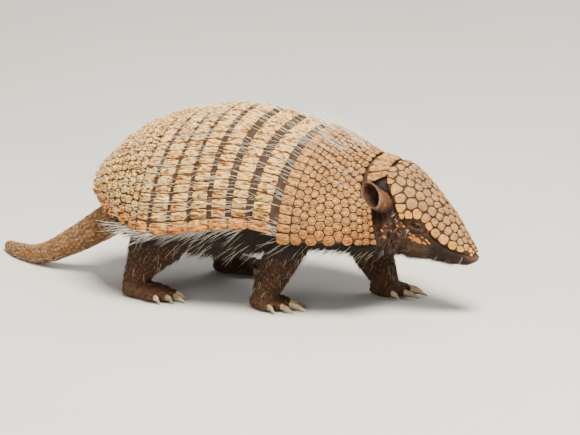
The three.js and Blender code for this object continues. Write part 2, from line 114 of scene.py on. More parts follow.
def pixel_of(points):
    """Image places of points in millimetres."""
    rel = (points + SHIFT) * MM - np.array(AIM)
    scale = PX_SCALE / (DISTANCE - rel @ BACK)
    return np.stack([FRAME_PX[0] / 2 + rel @ RIGHT * scale, FRAME_PX[1] / 2 - rel @ UP * scale], -1)


# ---------- small maths ----------

def smooth(low, high, value):
    t = np.clip((np.asarray(value, float) - low) / (high - low), 0, 1)
    return t * t * (3 - 2 * t)


def curve_at(stations, values, t):
    """Smooth curve through (stations, values), evaluated at t."""
    s, v = np.asarray(stations, float), np.asarray(values, float)
    slope = np.empty_like(v)
    slope[1:-1] = (v[2:] - v[:-2]) / (s[2:] - s[:-2])
    slope[0], slope[-1] = (v[1] - v[0]) / (s[1] - s[0]), (v[-1] - v[-2]) / (s[-1] - s[-2])
    i = np.clip(np.searchsorted(s, t, side="left") - 1, 0, len(s) - 2)
    span = s[i + 1] - s[i]
    f = np.clip((t - s[i]) / span, 0, 1)
    f2, f3 = f * f, f ** 3
    return ((2 * f3 - 3 * f2 + 1) * v[i] + (f3 - 2 * f2 + f) * span * slope[i]
            + (3 * f2 - 2 * f3) * v[i + 1] + (f3 - f2) * span * slope[i + 1])


def power(value, exponent):
    return np.sign(value) * np.abs(value) ** exponent


def unit(v):
    return v / np.maximum(np.linalg.norm(v, axis=-1, keepdims=True), 1e-9)


def tangent(way, out):
    """The unit direction nearest to way that is square to out."""
    return unit(way - out * np.sum(way * out, -1, keepdims=True))


def bell(value, centre, width):
    return np.exp(-((value - centre) / width) ** 2)


def turns(count):
    return np.linspace(0, 2 * math.pi, count, endpoint=False)


def pairs(first, second):
    """Every pair of a value from the first row and one from the second, as two flat arrays."""
    return (grid.ravel() for grid in np.meshgrid(first, second, indexing="ij"))


def both_arrays(a, b):
    return np.broadcast_arrays(np.asarray(a, float), np.asarray(b, float))


def running(points, axis=0):
    """Distance along a line of points, from 0."""
    steps = np.linalg.norm(np.diff(points, axis=axis), axis=-1)
    return np.concatenate([np.zeros_like(steps[..., :1]), np.cumsum(steps, axis=-1)], axis=-1)


class Waves:
    """A smooth random field about 0, with features of about the given size in each direction."""

    def __init__(self, size, count=14):
        size = np.broadcast_to(np.asarray(size, float), 3)
        direction = unit(RNG.normal(size=(count, 3)))
        self.k = direction * 2 * math.pi / size * RNG.uniform(0.7, 1.4, (count, 1))
        self.phase = RNG.uniform(0, 2 * math.pi, count)

    def __call__(self, points):
        total = np.zeros(points.shape[:-1])
        for k, phase in zip(self.k, self.phase):
            total += np.sin(points @ k + phase)
        return total * math.sqrt(2 / len(self.phase))


# ---------- the surfaces that carry plates ----------

def body_point(t, angle, depth=0.0):
    """Point of the carapace: t along the body, angle from the ridge, +90 at its left edge."""
    t, angle = both_arrays(t, angle)
    at = {key: curve_at(SHELL_T, values, t) for key, values in SHELL.items()}
    lean = at["lean"] * RAD
    edge = curve_at(EDGE_T, EDGE, t)
    across, crown = (power(f(angle * RAD), 2 / SHELL_ROUNDNESS) for f in (np.sin, np.cos))
    rise = crown * (at["top"] - edge - depth)
    apron = APRON * smooth(*APRON_ANGLES, np.abs(angle)) * (1 - smooth(0, APRON_END, t))
    back = apron - at["sweep"] * np.abs(across) ** 1.5
    return np.stack([
        at["x"] + rise * np.sin(lean) + back * np.cos(lean),
        across * (at["halfWidth"] - depth),
        edge + rise * np.cos(lean) - back * np.sin(lean),
    ], -1)


# Tables that turn t into millimetres along the body, and w into the angle from the ridge.
GIRTH_T, GIRTH_A, GIRTH_W = np.linspace(0, 1, 121), np.linspace(0, 90, 181), np.linspace(0, 1, 181)
_arc = running(body_point(GIRTH_T[:, None], GIRTH_A[None]), 1)
HALF_ARC = _arc[:, -1]
ANGLE_OF_W = np.array([np.interp(GIRTH_W, row / row[-1], GIRTH_A) for row in _arc])
LENGTH_W = 0.55
_line = body_point(GIRTH_T, ANGLE_OF_W[:, np.argmin(np.abs(GIRTH_W - LENGTH_W))])
LENGTH = running(_line)


def t_of_length(length):
    return np.interp(length, LENGTH, GIRTH_T)


def length_of_t(t):
    return np.interp(t, GIRTH_T, LENGTH)


def half_arc(t):
    """Length of the arch at t, from the ridge to the edge."""
    return np.interp(t, GIRTH_T, HALF_ARC)


def shell_surface(t, w):
    """The carapace by t and by w, the share of the way from the ridge (0) to the edge (+1 left, -1 right)."""
    t, w = both_arrays(t, w)
    inside = np.clip(np.abs(w), 0, 1)
    row, col = np.clip(t, 0, 1) * (len(GIRTH_T) - 1), inside * (len(GIRTH_W) - 1)
    i = np.clip(row.astype(int), 0, len(GIRTH_T) - 2)
    j = np.clip(col.astype(int), 0, len(GIRTH_W) - 2)
    f, g = row - i, col - j
    angle = ((ANGLE_OF_W[i, j] * (1 - g) + ANGLE_OF_W[i, j + 1] * g) * (1 - f)
             + (ANGLE_OF_W[i + 1, j] * (1 - g) + ANGLE_OF_W[i + 1, j + 1] * g) * f)
    point = body_point(t, angle * np.sign(w))
    over = (np.abs(w) - inside) * half_arc(t)
    point[..., 2] -= over
    point[..., 1] -= np.sign(w) * over * 0.25
    return point


def head_point(t, angle, grow=0.0):
    """Point of the head: t from the nape to the nose, angle from the crown, 180 at the chin."""
    t, angle = both_arrays(t, angle)
    at = {key: curve_at(HEAD_T, values, t) for key, values in HEAD.items()}
    up = np.abs(angle) <= 90
    exponent = 2 / np.where(up, *HEAD_ROUNDNESS)
    across, crown = (power(f(angle * RAD), exponent) for f in (np.sin, np.cos))
    z = at["level"] + crown * np.where(up, at["topZ"] - at["level"] + grow, at["level"] - at["lowZ"] + grow)
    share = (z - at["lowZ"]) / (at["topZ"] - at["lowZ"])
    x = at["lowX"] + (at["topX"] - at["lowX"]) * share
    return np.stack([x, across * (at["halfWidth"] + grow), z], -1)


def head_surface(t, w):
    """The head shield by t and by w, the share of the way from the crown to the shield's margin."""
    return head_point(t, np.asarray(w) * curve_at(HEAD_T, HEAD["margin"], t))


CORNER_REACH, CORNER_W, CORNER_WIDTH = 0.085, 0.62, 0.26
BEYOND_STEP = 0.02


def shield_surface(t, w):
    """The head shield as seen: its rear corners reach back towards the ears."""
    t, w = both_arrays(t, w)
    t = t - CORNER_REACH * bell(np.abs(w), CORNER_W, CORNER_WIDTH) * smooth(0.3, 0, t)
    beyond = np.minimum(t, 0)[..., None] / BEYOND_STEP
    return head_surface(np.maximum(t, 0), w) + beyond * (head_surface(BEYOND_STEP, w) - head_surface(0, w))


NUCHAL_LIFT, NUCHAL_HALF = 3.7, 46
NECK_TUCK, NECK_DEPTH, NAPE_GROW = 15, 4.0, -2.6


def nuchal_surface(s, w):
    """The nuchal band, from the carapace's front arch (s = 0) to the back of the head (s = 1)."""
    s, angle = both_arrays(s, np.asarray(w) * NUCHAL_HALF)
    start = body_point(0, angle, NECK_DEPTH + NECK_TUCK * smooth(25, 60, np.abs(angle)))
    point = start + (head_point(0, angle, NAPE_GROW) - start) * s[..., None]
    return point + unit(point - (point * [1, 0, 0] + [0, 0, HEAD["level"][0]])) * NUCHAL_LIFT


PROBE = 0.004
CORE_Z = 40


def slopes(surface, p, q):
    """How far the surface moves over a small step in each of its two numbers."""
    return surface(p + PROBE, q) - surface(p - PROBE, q), surface(p, q + PROBE) - surface(p, q - PROBE)


def normals_of(surface, p, q):
    """Normals that look away from the model's core, a line along X at CORE_Z."""
    n = unit(np.cross(*slopes(surface, p, q)))
    here = surface(p, q)
    flip = np.sign(np.sum(n * (here - (here * [1, 0, 0] + [0, 0, CORE_Z])), -1, keepdims=True))
    return n * np.where(flip == 0, 1, flip)


# ---------- building meshes from arrays ----------

class Build:
    """Vertices, faces and what each vertex carries, gathered into one mesh."""

    def __init__(self):
        self.points, self.faces, self.paint, self.flow, self.uv, self.count = [], [], [], [], [], 0

    def add(self, points, faces, paint, flow=None, uv=None):
        """faces is a row of arrays, one for each kind of face; paint is a colour, or one for each point."""
        points = np.asarray(points, float).reshape(-1, 3)
        self.points.append(points)
        self.paint.append(np.broadcast_to(np.asarray(paint, float), (len(points), 4)))
        self.flow.append(points if flow is None else np.asarray(flow, float))
        self.uv.append(np.zeros((len(points), 2)) if uv is None else uv)
        self.faces += [np.asarray(block) + self.count for block in faces]
        self.count += len(points)

    def object(self, name, material, bake=False):
        mesh = bpy.data.meshes.new(name)
        corners = np.concatenate([block.ravel() for block in self.faces])
        sizes = np.concatenate([np.full(len(block), block.shape[1]) for block in self.faces])
        mesh.vertices.add(self.count)
        mesh.loops.add(len(corners))
        mesh.polygons.add(len(sizes))
        mesh.vertices.foreach_set("co", ((np.concatenate(self.points) + SHIFT) * MM).ravel())
        mesh.loops.foreach_set("vertex_index", corners)
        mesh.polygons.foreach_set("loop_start", np.concatenate([[0], np.cumsum(sizes)[:-1]]))
        mesh.polygons.foreach_set("use_smooth", np.ones(len(sizes), dtype=bool))
        mesh.update(calc_edges=True)
        for key, kind, values in (("paint", "FLOAT_COLOR", self.paint), ("flow", "FLOAT_VECTOR", self.flow)):
            part = "color" if key == "paint" else "vector"
            mesh.attributes.new(key, kind, "POINT").data.foreach_set(part, np.concatenate(values).ravel())
        if bake:
            layer = mesh.uv_layers.new(name="OFBake")
            layer.data.foreach_set("uv", np.concatenate(self.uv)[corners].ravel())
        mesh.materials.append(material)
        return linked(name, mesh)

    def coat(self, name, material):
        """Fix a piece of hair or small scutes to the model, with its OFBake map."""
        placed(self.object(name, material, bake=True), "skin")


def placed(piece, slot, *nodes):
    """Fix a piece to the model, and hide the CAD nodes it stands for. slot is not used."""
    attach(piece, "root")
    if nodes:
        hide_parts(*nodes)
    return piece


def grid_faces(rows, cols, closed=False):
    i, j = np.meshgrid(np.arange(rows - 1), np.arange(cols if closed else cols - 1), indexing="ij")
    k = (j + 1) % cols
    return np.stack([i * cols + j, i * cols + k, (i + 1) * cols + k, (i + 1) * cols + j], -1).reshape(-1, 4)


def fan_faces(start, count, tip):
    """Triangles from a closed ring of points to its tip."""
    k = np.arange(count)
    return np.stack([start + k, start + (k + 1) % count, np.full(count, tip)], -1)


def wall_faces(ring, low_ring):
    """Faces between two closed rings of points."""
    return np.stack([ring, np.roll(ring, -1), np.roll(low_ring, -1), low_ring], -1)


FIRST = slice(1)


def outward(points, blocks, normal, judged=slice(None)):
    """The blocks of faces, all turned over if the judged faces of the first look against the normal."""
    a, b, c = (points[blocks[0][judged, i]] for i in range(3))
    against = np.sum(np.cross(b - a, c - a) * normal) < 0
    return [block[:, ::-1] if against else block for block in blocks]


CELL_SIDES, CELL_REACH, CELL_NEAR, CELL_SOFT, HALVINGS, LEAST_SIZE = 32, 16.0, 16, 5, 12, 2.0


def cells(surface, seeds, limits, groove):
    """The rounded Voronoi cell of each seed, as (number, outline, middle, size) in the surface's two numbers.

    Each side is found along a ray from the seed, by halving, where another seed comes as near."""
    p, q = seeds.T
    here = surface(p, q)
    along, across = (d / (2 * PROBE) for d in slopes(surface, p, q))
    u = unit(along)
    v = np.cross(unit(np.cross(along, across)), u)
    jac = np.stack([np.stack([np.sum(a * b, -1) for a in (along, across)], -1) for b in (u, v)], -2)
    inverse = np.linalg.inv(jac)
    turn = turns(CELL_SIDES)
    step = np.einsum("nij,rj->nri", inverse, np.stack([np.cos(turn), np.sin(turn)], -1))
    apart = np.linalg.norm(here[:, None] - here[None], axis=-1)
    others = np.argsort(apart, axis=1)[:, 1:CELL_NEAR + 1]
    margin = [np.linalg.norm(inverse[:, k], axis=-1)[:, None] * groove / 2 for k in range(2)]
    low, high = np.zeros(step.shape[:2]), np.full(step.shape[:2], CELL_REACH)
    for _ in range(HALVINGS):
        middle = (low + high) / 2
        place = seeds[:, None] + step * middle[..., None]
        point = surface(place[..., 0], place[..., 1])
        own = np.linalg.norm(point - here[:, None], axis=-1)
        other = np.linalg.norm(point[:, :, None] - here[others][:, None], axis=-1).min(axis=-1)
        inside = other - own > groove
        for k, (least, most) in enumerate(limits):
            inside &= (place[..., k] > least + margin[k]) & (place[..., k] < most - margin[k])
        low, high = np.where(inside, middle, low), np.where(inside, high, middle)
    soft = sum(np.roll(low, k, axis=1) for k in range(-CELL_SOFT, CELL_SOFT + 1)) / (2 * CELL_SOFT + 1)
    radius = np.minimum(low, soft * 1.02)
    radius = (np.roll(radius, 1, axis=1) + 2 * radius + np.roll(radius, -1, axis=1)) / 4
    outlines = seeds[:, None] + step * radius[..., None]
    for i, outline in enumerate(outlines):
        size = math.sqrt(np.mean(radius[i] ** 2) * math.pi)
        if size > LEAST_SIZE:
            yield i, outline, outline.mean(axis=0), size


# A scute is a low plate with rounded sides: (share of its width, height) from the outline to the middle.
SCUTE_SHARES = np.array([1.0, 1.0, 0.965, 0.9, 0.78, 0.6, 0.38, 0.18, 0.0])
SCUTE_HEIGHTS = np.array([-1.9, -0.75, -0.22, 0.08, 0.22, 0.3, 0.34, 0.36, 0.36])
FULL_SIZE, DOME_SIZE, RELIEF_ENDS, RING_WIDTH = 8, 9, 0.86, 0.1


def add_scutes(build, surface, outlines, tone, warm, relief, dome=0.0, ring_at=None):
    """Plates over the given outlines. relief(points, share) gives each vertex's extra height."""
    for i, outline, middle, size in outlines:
        n, last = len(outline), (len(SCUTE_SHARES) - 2) * len(outline)
        pq = middle + (outline - middle)[None] * SCUTE_SHARES[:-1, None, None]
        p, q = np.vstack([pq.reshape(-1, 2), middle[None]]).T
        share, height = (np.append(np.repeat(v[:-1], n), v[-1]) for v in (SCUTE_SHARES, SCUTE_HEIGHTS))
        height = height * min(1.0, size / FULL_SIZE)
        height += dome * (1 - share ** 2) * size / DOME_SIZE
        rest = surface(p, q)
        height += relief(rest, share) * smooth(1.0, RELIEF_ENDS, share)
        normal = normals_of(surface, p, q)
        points = rest + normal * height[:, None]
        blocks = (grid_faces(len(SCUTE_SHARES) - 1, n, closed=True), fan_faces(last, n, last + n))
        groove = bell(share, ring_at, RING_WIDTH) if ring_at else share * 0
        paint = np.stack([np.full(len(points), tone(i)), share, warm(rest), 1 - groove], -1)
        build.add(points, outward(points, blocks, normal[0]), paint, rest)


BLOCK_STEPS, BLOCK_CORNER, BLOCK_RELIEF_ENDS, SKIRT = 12, 0.35, 0.8, 1.3
BLOCK_RISE, BLOCK_FOOT, BLOCK_SHOULDER = 1.05, -0.75, 0.28


def rim_of(rows, cols):
    """The numbers of a grid's outer points, in order round it."""
    return np.concatenate([np.arange(cols - 1), np.arange(rows - 1) * cols + cols - 1,
                           np.arange(rows * cols - 1, (rows - 1) * cols, -1),
                           np.arange((rows - 1) * cols, 0, -cols)])


def add_blocks(build, surface, blocks, tone, warm, relief):
    """Rectangular plates. Each block is (low p, high p, low q, high q)."""
    s = power(np.linspace(-1, 1, BLOCK_STEPS + 1), 0.8)
    a, b = pairs(s, s)
    round_a, round_b = a * np.sqrt(1 - BLOCK_CORNER * b * b / 2), b * np.sqrt(1 - BLOCK_CORNER * a * a / 2)
    share = np.maximum(np.abs(a), np.abs(b))
    edge = np.minimum(1 - np.abs(a), 1 - np.abs(b))
    ring = rim_of(BLOCK_STEPS + 1, BLOCK_STEPS + 1)
    wall = wall_faces(ring, len(a) + np.arange(len(ring)))
    for i, (p0, p1, q0, q1) in enumerate(blocks):
        p, q = (p0 + p1) / 2 + round_a * (p1 - p0) / 2, (q0 + q1) / 2 + round_b * (q1 - q0) / 2
        rest = surface(p, q)
        height = BLOCK_RISE * smooth(0, BLOCK_SHOULDER, edge) ** 0.7 + BLOCK_FOOT
        height += relief(rest, share) * smooth(1.0, BLOCK_RELIEF_ENDS, share)
        normal = normals_of(surface, p, q)
        points = rest + normal * height[:, None]
        skirt = points[ring] - normal[ring] * SKIRT
        faces = outward(points, (grid_faces(BLOCK_STEPS + 1, BLOCK_STEPS + 1), wall[:, ::-1]), normal[0])
        paint = np.stack([np.full(len(points), tone(i)), share, warm(rest), np.ones(len(points))], -1)
        build.add(np.vstack([points, skirt]), faces, np.vstack([paint, paint[ring]]),
                  np.vstack([rest, rest[ring]]))


BASE_PAINT = (0.3, 1.0, 0.1, 1.0)
BASE_TOP, BASE_UNDER = -1.05, -3.1


def add_sheet(build, surface, p_range, half, rows, cols, top=BASE_TOP, under=BASE_UNDER, paint=BASE_PAINT,
              relief=None):
    """A closed curved sheet between two heights over part of a surface.

    paint may be worked out from its points and their first number on the surface."""
    p, q = pairs(np.linspace(*p_range, rows), np.linspace(-half, half, cols))
    rest, normal = surface(p, q), normals_of(surface, p, q)
    height = np.full(len(p), top) + (relief(rest, p) if relief else 0)
    upper, lower = rest + normal * height[:, None], rest + normal * under
    ring, points = rim_of(rows, cols), np.vstack([upper, lower])
    wall = wall_faces(ring, len(upper) + ring)
    faces, wall = outward(upper, (grid_faces(rows, cols), wall[:, ::-1]), normal[len(p) // 2])
    build.add(points, (faces, faces[:, ::-1] + len(upper), wall),
              paint(points, np.tile(p, 2)) if callable(paint) else paint, np.vstack([rest, rest]))


# ---------- materials ----------

def linear(r, g, b):
    """A colour given as screen values from 0 to 255, in linear light."""
    parts = [((c / 255 + 0.055) / 1.055) ** 2.4 if c > 10 else c / 255 / 12.92 for c in (r, g, b)]
    return (*parts, 1.0)


class Nodes:
    """A short way to write a node material."""

    def __init__(self, name):
        self.material = bpy.data.materials.new(name)
        self.material.use_nodes = True
        self.tree = self.material.node_tree
        self.shader = self.tree.nodes["Principled BSDF"]

    def put(self, socket, value):
        if isinstance(value, bpy.types.NodeSocket):
            self.tree.links.new(value, socket)
        else:
            socket.default_value = value

    def add(self, kind, sockets, out=0, **properties):
        node = self.tree.nodes.new("ShaderNode" + kind)
        for key, value in properties.items():
            setattr(node, key, value)
        for key, value in sockets.items():
            self.put(node.inputs[key], value)
        return node.outputs if out is None else node.outputs[out]

    def noise(self, vector, scale, detail=3.0, rough=0.55, stretch=None):
        if stretch:
            vector = self.add("VectorMath", {0: vector, 1: (stretch, 1.0, 1.0)}, operation="MULTIPLY")
        return self.add("TexNoise", {"Vector": vector, "Scale": scale, "Detail": detail, "Roughness": rough})

    def ramp(self, value, low, high, start=0.0, end=1.0):
        return self.add("MapRange", {0: value, 1: low, 2: high, 3: start, 4: end})

    def mix(self, factor, a, b, blend="MIX"):
        return self.add("Mix", {0: factor, 6: a, 7: b}, 2, data_type="RGBA", blend_type=blend)

    def math(self, operation, a, b=0.0):
        return self.add("Math", {0: a, 1: b}, operation=operation)

    def attribute(self, name, out):
        return self.add("Attribute", {}, out, attribute_name=name)

    def paint(self):
        """The first three parts of the attribute paint."""
        return self.add("SeparateColor", {0: self.attribute("paint", 0)}, None)

    def shaded(self, colour, shade):
        return self.mix(1.0, colour, self.add("CombineColor", {0: shade, 1: shade, 2: shade}), "MULTIPLY")

    def bump(self, height, strength, distance):
        return self.add("Bump", {"Height": height, "Strength": strength, "Distance": distance})

    def finish(self, colour, roughness, normal=None, level=None):
        self.put(self.shader.inputs["Base Color"], colour)
        self.put(self.shader.inputs["Roughness"], roughness)
        if normal is not None:
            self.put(self.shader.inputs["Normal"], normal)
        if level is not None:
            self.shader.inputs["Specular IOR Level"].default_value = level
        return self.material


def horn_material(name, light, mid, dark, warm_dark, warm_light, rough_scale, seam, furrows):
    """Scutes: paint holds the plate's tone, the share of the way to its edge, its orange, 1 off a groove."""
    light, mid, dark, warm_dark, warm_light, seam = (
        linear(*c) for c in (light, mid, dark, warm_dark, warm_light, seam))
    n = Nodes(name)
    place = n.attribute("flow", 1)
    tone, share, warm = n.paint()
    broad = n.noise(place, 0.05, 2.0)
    grain = n.noise(place, rough_scale, 5.0, 0.7, stretch=0.42)
    fine = n.noise(place, rough_scale * 3.1, 3.0, 0.6)
    colour = n.mix(n.ramp(grain, 0.4, 0.6), mid, light)
    colour = n.mix(n.ramp(fine, 0.5, 0.66, 0.0, 0.9), colour, dark)
    orange = n.mix(n.ramp(grain, 0.36, 0.64), warm_dark, warm_light)
    colour = n.mix(n.math("MULTIPLY", warm, 0.88), colour, orange)
    shade = n.math("ADD", n.math("MULTIPLY", tone, 0.22), n.ramp(broad, 0.3, 0.7, 0.8, 1.02))
    colour = n.shaded(colour, shade)
    streak = n.noise(place, 0.6, 3.0, 0.6, stretch=0.16)
    colour = n.mix(n.ramp(streak, 0.5, 0.58, 0.0, furrows), colour, dark)
    colour = n.mix(n.ramp(share, 0.9, 1.0, 0.0, 0.9), colour, seam)
    groove = n.math("SUBTRACT", 1.0, n.attribute("paint", 3))
    colour = n.mix(n.math("MULTIPLY", groove, 0.55), colour, dark)
    colour = n.mix(n.ramp(n.noise(place, 0.47, 1.0), 0.62, 0.72, 0.0, 0.4), colour, seam)
    height = n.math("ADD", grain, n.math("MULTIPLY", fine, 0.4))
    height = n.math("SUBTRACT", height, n.math("MULTIPLY", streak, 2.0 * furrows))
    return n.finish(colour, n.ramp(grain, 0.3, 0.7, 0.52, 0.8), n.bump(height, 1.0, 0.0014), 0.3)


SEAM = (52, 31, 17)
shell_material, shaded_shoulder_material, head_material = (horn_material(*row) for row in (
    ("shell", (255, 238, 166), (255, 184, 96), (112, 56, 18), (174, 92, 28), (238, 156, 66), 0.55,
     SEAM, 0.95),
    # The shoulder's colours are a darker copy of the shell's, with darker orange ones: painted shade for the
    # lower front of the body, over the shield's own orange.
    ("shoulder", (224, 176, 112), (176, 120, 66), (98, 58, 28), (136, 84, 38), (196, 130, 64), 0.55,
     SEAM, 0.5),
    ("head_plates", (184, 146, 98), (144, 106, 67), (118, 76, 46), (214, 134, 46), (246, 182, 84), 0.4,
     (44, 26, 16), 0.18),
))


def skin_material():
    n = Nodes("skin")
    paint = n.attribute("paint", 0)
    place = n.attribute("flow", 1)
    fine = n.noise(place, 0.9, 4.0, 0.6)
    broad = n.noise(place, 0.12, 2.0)
    colour = n.shaded(paint, n.ramp(fine, 0.3, 0.7, 0.6, 1.3))
    colour = n.shaded(colour, n.ramp(broad, 0.3, 0.7, 0.8, 1.12))
    cracks = n.add("TexVoronoi", {"Vector": place, "Scale": 0.75}, feature="DISTANCE_TO_EDGE")
    height = n.math("ADD", n.ramp(cracks, 0.0, 0.16), n.math("MULTIPLY", fine, 0.6))
    return n.finish(colour, n.ramp(fine, 0.3, 0.7, 0.6, 0.8), n.bump(height, 0.8, 0.0006), 0.25)


def hair_material(name, root, tip):
    """Hair: paint holds (share along the hair, its own tone)."""
    n = Nodes(name)
    along, tone, _ = n.paint()
    colour = n.shaded(n.mix(n.ramp(along, 0.1, 0.8), root, tip), n.ramp(tone, 0.0, 1.0, 0.6, 1.15))
    return n.finish(colour, n.ramp(tone, 0.0, 1.0, 0.5, 0.7), level=0.25)


def claw_material():
    n = Nodes("claw")
    place = n.add("TexCoord", {}, 3)
    streak = n.noise(place, 160.0, 4.0, 0.6, stretch=0.3)
    cloud = n.noise(place, 90.0, 2.0)
    colour = n.mix(n.ramp(streak, 0.35, 0.65), linear(120, 94, 70), linear(204, 178, 144))
    colour = n.mix(n.ramp(cloud, 0.5, 0.7, 0.0, 0.6), colour, linear(74, 56, 42))
    return n.finish(colour, n.ramp(streak, 0.3, 0.7, 0.28, 0.5), n.bump(streak, 0.35, 0.0003))


def eye_material():
    """The eye: paint holds the distance from the pupil's middle."""
    n = Nodes("eye")
    out = n.paint()[0]
    fibres = n.noise(n.attribute("flow", 1), 1.6, 3.0)
    iris = n.mix(n.ramp(fibres, 0.35, 0.65), linear(30, 18, 11), linear(58, 36, 22))
    colour = n.mix(n.ramp(out, 0.36, 0.44), linear(6, 5, 5), iris)
    colour = n.mix(n.ramp(out, 0.8, 0.95), colour, linear(46, 32, 26))
    return n.finish(colour, n.ramp(fibres, 0.3, 0.7, 0.06, 0.1), level=0.28)


SKIN = skin_material()
PALE_HAIR = hair_material("pale_hair", linear(222, 206, 180), linear(255, 250, 240))
DARK_HAIR = hair_material("dark_hair", linear(16, 12, 9), linear(58, 42, 30))
CLAW = claw_material()
EYE_MATERIAL = eye_material()

# ---------- carapace ----------

GAP_SHOWN, GAP_PROBE = 0.86, 0.01


def half_gap(i):
    """Half of a gap's width, in t."""
    x = curve_at(SHELL_T, SHELL["x"], GAP_T[i] + np.array([-GAP_PROBE, GAP_PROBE]))
    return GAP_SHOWN * GAP_WIDTH[i] * GAP_PROBE / (x[0] - x[1])


GAP_EDGES = [(t - half_gap(i), t + half_gap(i)) for i, t in enumerate(GAP_T)]

coarse, ridges, pits, lumps = (Waves(size) for size in ((9.0, 2.6, 2.6), (6.0, 1.5, 1.5), 2.3, 4.5))
tones = RNG.uniform(0, 1, 4000)


def rough(*parts):
    """Relief from random fields, given as (height, field)."""
    return lambda points, share: sum(height * field(points) for height, field in parts)


rough_band = rough((0.34, coarse), (0.46, ridges), (0.2, pits))
rough_rump = rough((0.44, pits), (0.4, lumps))
rough_lobe = rough((0.26, pits), (0.24, lumps), (0.2, coarse))
rough_head = rough((0.07, pits), (0.1, lumps))
rough_ring = rough((0.22, pits), (0.18, lumps))
RING_SHARE, RING_DEPTH = 0.64, 0.55


def ringed(points, share):
    """A groove round the middle of each scute of the shoulder shield."""
    return rough_ring(points, share) - RING_DEPTH * bell(share, RING_SHARE, RING_WIDTH)


def tone_from(start):
    return lambda i: tones[(start + 7 * i) % len(tones)]


WARM_X, WARM_Z = [-187, -150, -100, -45, -10, 10, 20, 37, 96], [90, 79, 71.5, 80, 84, 82, 74, 73, 74]


def body_warm(points):
    """How orange a scute is: more towards the lower edge."""
    edge = np.interp(points[:, 0], WARM_X, WARM_Z)
    return np.clip(1.0 - (points[:, 2] - edge - 2) / 26, 0, 1) ** 1.5 * 0.95 + 0.08


def front_warm(points):
    """The small scutes in front of the shoulder shield are yellow, as its lower edge is."""
    x = np.interp(np.abs(points[:, 1]), [40, 56], [120, 96])
    return np.maximum(body_warm(points), smooth(x - 1, x + 2, points[:, 0]) * (points[:, 2] < 118))


HEAD_WARM_X, HEAD_WARM_Z = [100, 116, 121, 136, 144, 154, 162, 175], [125, 116, 100, 96, 87, 75, 68, 60]


def head_warm(points):
    """The lowest plates of the head are orange."""
    lower = np.interp(points[:, 0], HEAD_WARM_X, HEAD_WARM_Z)
    return np.clip(1.0 - (points[:, 2] - lower - 1) / 11, 0, 1) * 0.95


# Shares of the way to the shell's edge: where a row of plates ends, and where its lobe starts and ends.
EDGE_SHARE, LOBE_TOP, LOBE_REACH, LOBE_SIZE = 0.925, 0.929, 1.008, 9.0
# Sizes of scutes in mm, and the lengths of the rows that end the shoulder shield and start the pelvic one.
ROW, SHOULDER_ROW, RUMP_ROW, RUMP_WIDTH = 8.7, 8.1, 8.2, 8.3
SHOULDER_END_ROW, PELVIC_FIRST_ROW = 11.5, 13.0
BACK_EDGES, LENGTH_EDGES = 91, 5
SHEET_HALF = 0.985


def band_blocks(t0, t1, groove):
    """A row of rectangular plates across the back, down to the lobe at each end."""
    arc = half_arc((t0 + t1) / 2)
    count = int(round(2 * (arc * EDGE_SHARE) / ROW))
    edges = np.linspace(-EDGE_SHARE, EDGE_SHARE, count + 1)
    edges[1:-1] += RNG.uniform(-0.08, 0.08, count - 1) * (edges[1] - edges[0])
    return [(t0, t1, a + groove / 2 / arc, b - groove / 2 / arc) for a, b in zip(edges[:-1], edges[1:])]


def add_row(build, t0, t1, groove, block_tone, lobe_tone, spread=0.0):
    """A row of plates with the rounded scute that ends it at the lower edge, on each side."""
    add_blocks(build, shell_surface, band_blocks(t0, t1, groove), tone_from(block_tone), body_warm,
               rough_band)
    across, down = (power(f(turns(CELL_SIDES)), 0.62) for f in (np.cos, np.sin))
    for side in (-1, 1):
        outline = np.stack([(t0 + t1) / 2 + across * ((t1 - t0) / 2 + spread),
                            side * (LOBE_TOP + (down + 1) / 2 * (LOBE_REACH - LOBE_TOP))], -1)
        lobe = (0, outline, outline.mean(axis=0), LOBE_SIZE)
        add_scutes(build, shell_surface, [lobe], tone_from(lobe_tone), body_warm, rough_lobe, dome=1.0)


def shell_piece(name, make, *args, material=shell_material):
    build = Build()
    make(build, *args)
    placed(build.object(name + "_scutes", material), "shell", name)


def band(build, index):
    t0, t1 = GAP_EDGES[index][1], GAP_EDGES[index + 1][0]
    inset = (t1 - t0) * 0.03
    add_sheet(build, shell_surface, (t0 + inset, t1 - inset), SHEET_HALF, LENGTH_EDGES, BACK_EDGES)
    add_row(build, t0, t1, 0.3, 300 * index, 17 * index, (half_gap(index) + half_gap(index + 1)) / 2 * 1.05)


SEEN_T, SEEN_W, FACING = 300, 240, 0.02


def seen_seeds(surface, places, t_end):
    """Where places in the view fall on the right side of a surface."""
    t, w = pairs(np.linspace(0, t_end, SEEN_T), np.linspace(-1, 0, SEEN_W))
    facing = normals_of(surface, t, w) @ BACK > FACING
    t, w = t[facing], w[facing]
    seen = pixel_of(surface(t, w))
    nearest = [np.argmin(np.linalg.norm(seen - np.array(place), axis=1)) for place in places]
    return np.stack([t[nearest], w[nearest]], -1)


def rows_of_seeds(t_rows, spacing, half, jitter):
    """Staggered rows of seeds over the back."""
    seeds = []
    for k, t in enumerate(t_rows):
        count = max(3, int(round(half_arc(t) * 2 * half / spacing)))
        step = 2 * half / count
        seeds += [(t, -half + (j + k % 2 / 2) * step) for j in range(count + 1 - k % 2)]
    return np.array(seeds) + RNG.uniform(-1, 1, (len(seeds), 2)) * [jitter / LENGTH[-1], jitter / 100]


# Middles of the small scutes in front of the shoulder shield's lower half, as places in the 580 x 435 view.
APRON_PLATES = [
    (363.6, 206.6), (364.6, 212.6), (365.0, 219.4), (365.4, 227.0), (365.6, 235.2), (365.2, 242.4),
    (370.0, 216.8), (371.4, 223.0), (373.0, 229.4), (374.2, 236.2), (374.8, 242.6), (368.8, 210.6),
    (359.4, 204.0), (359.8, 211.8), (359.8, 220.2), (360.0, 228.6), (359.8, 236.8), (359.2, 243.2),
]
APRON_EDGE, APRON_TOP = 356.5, 203


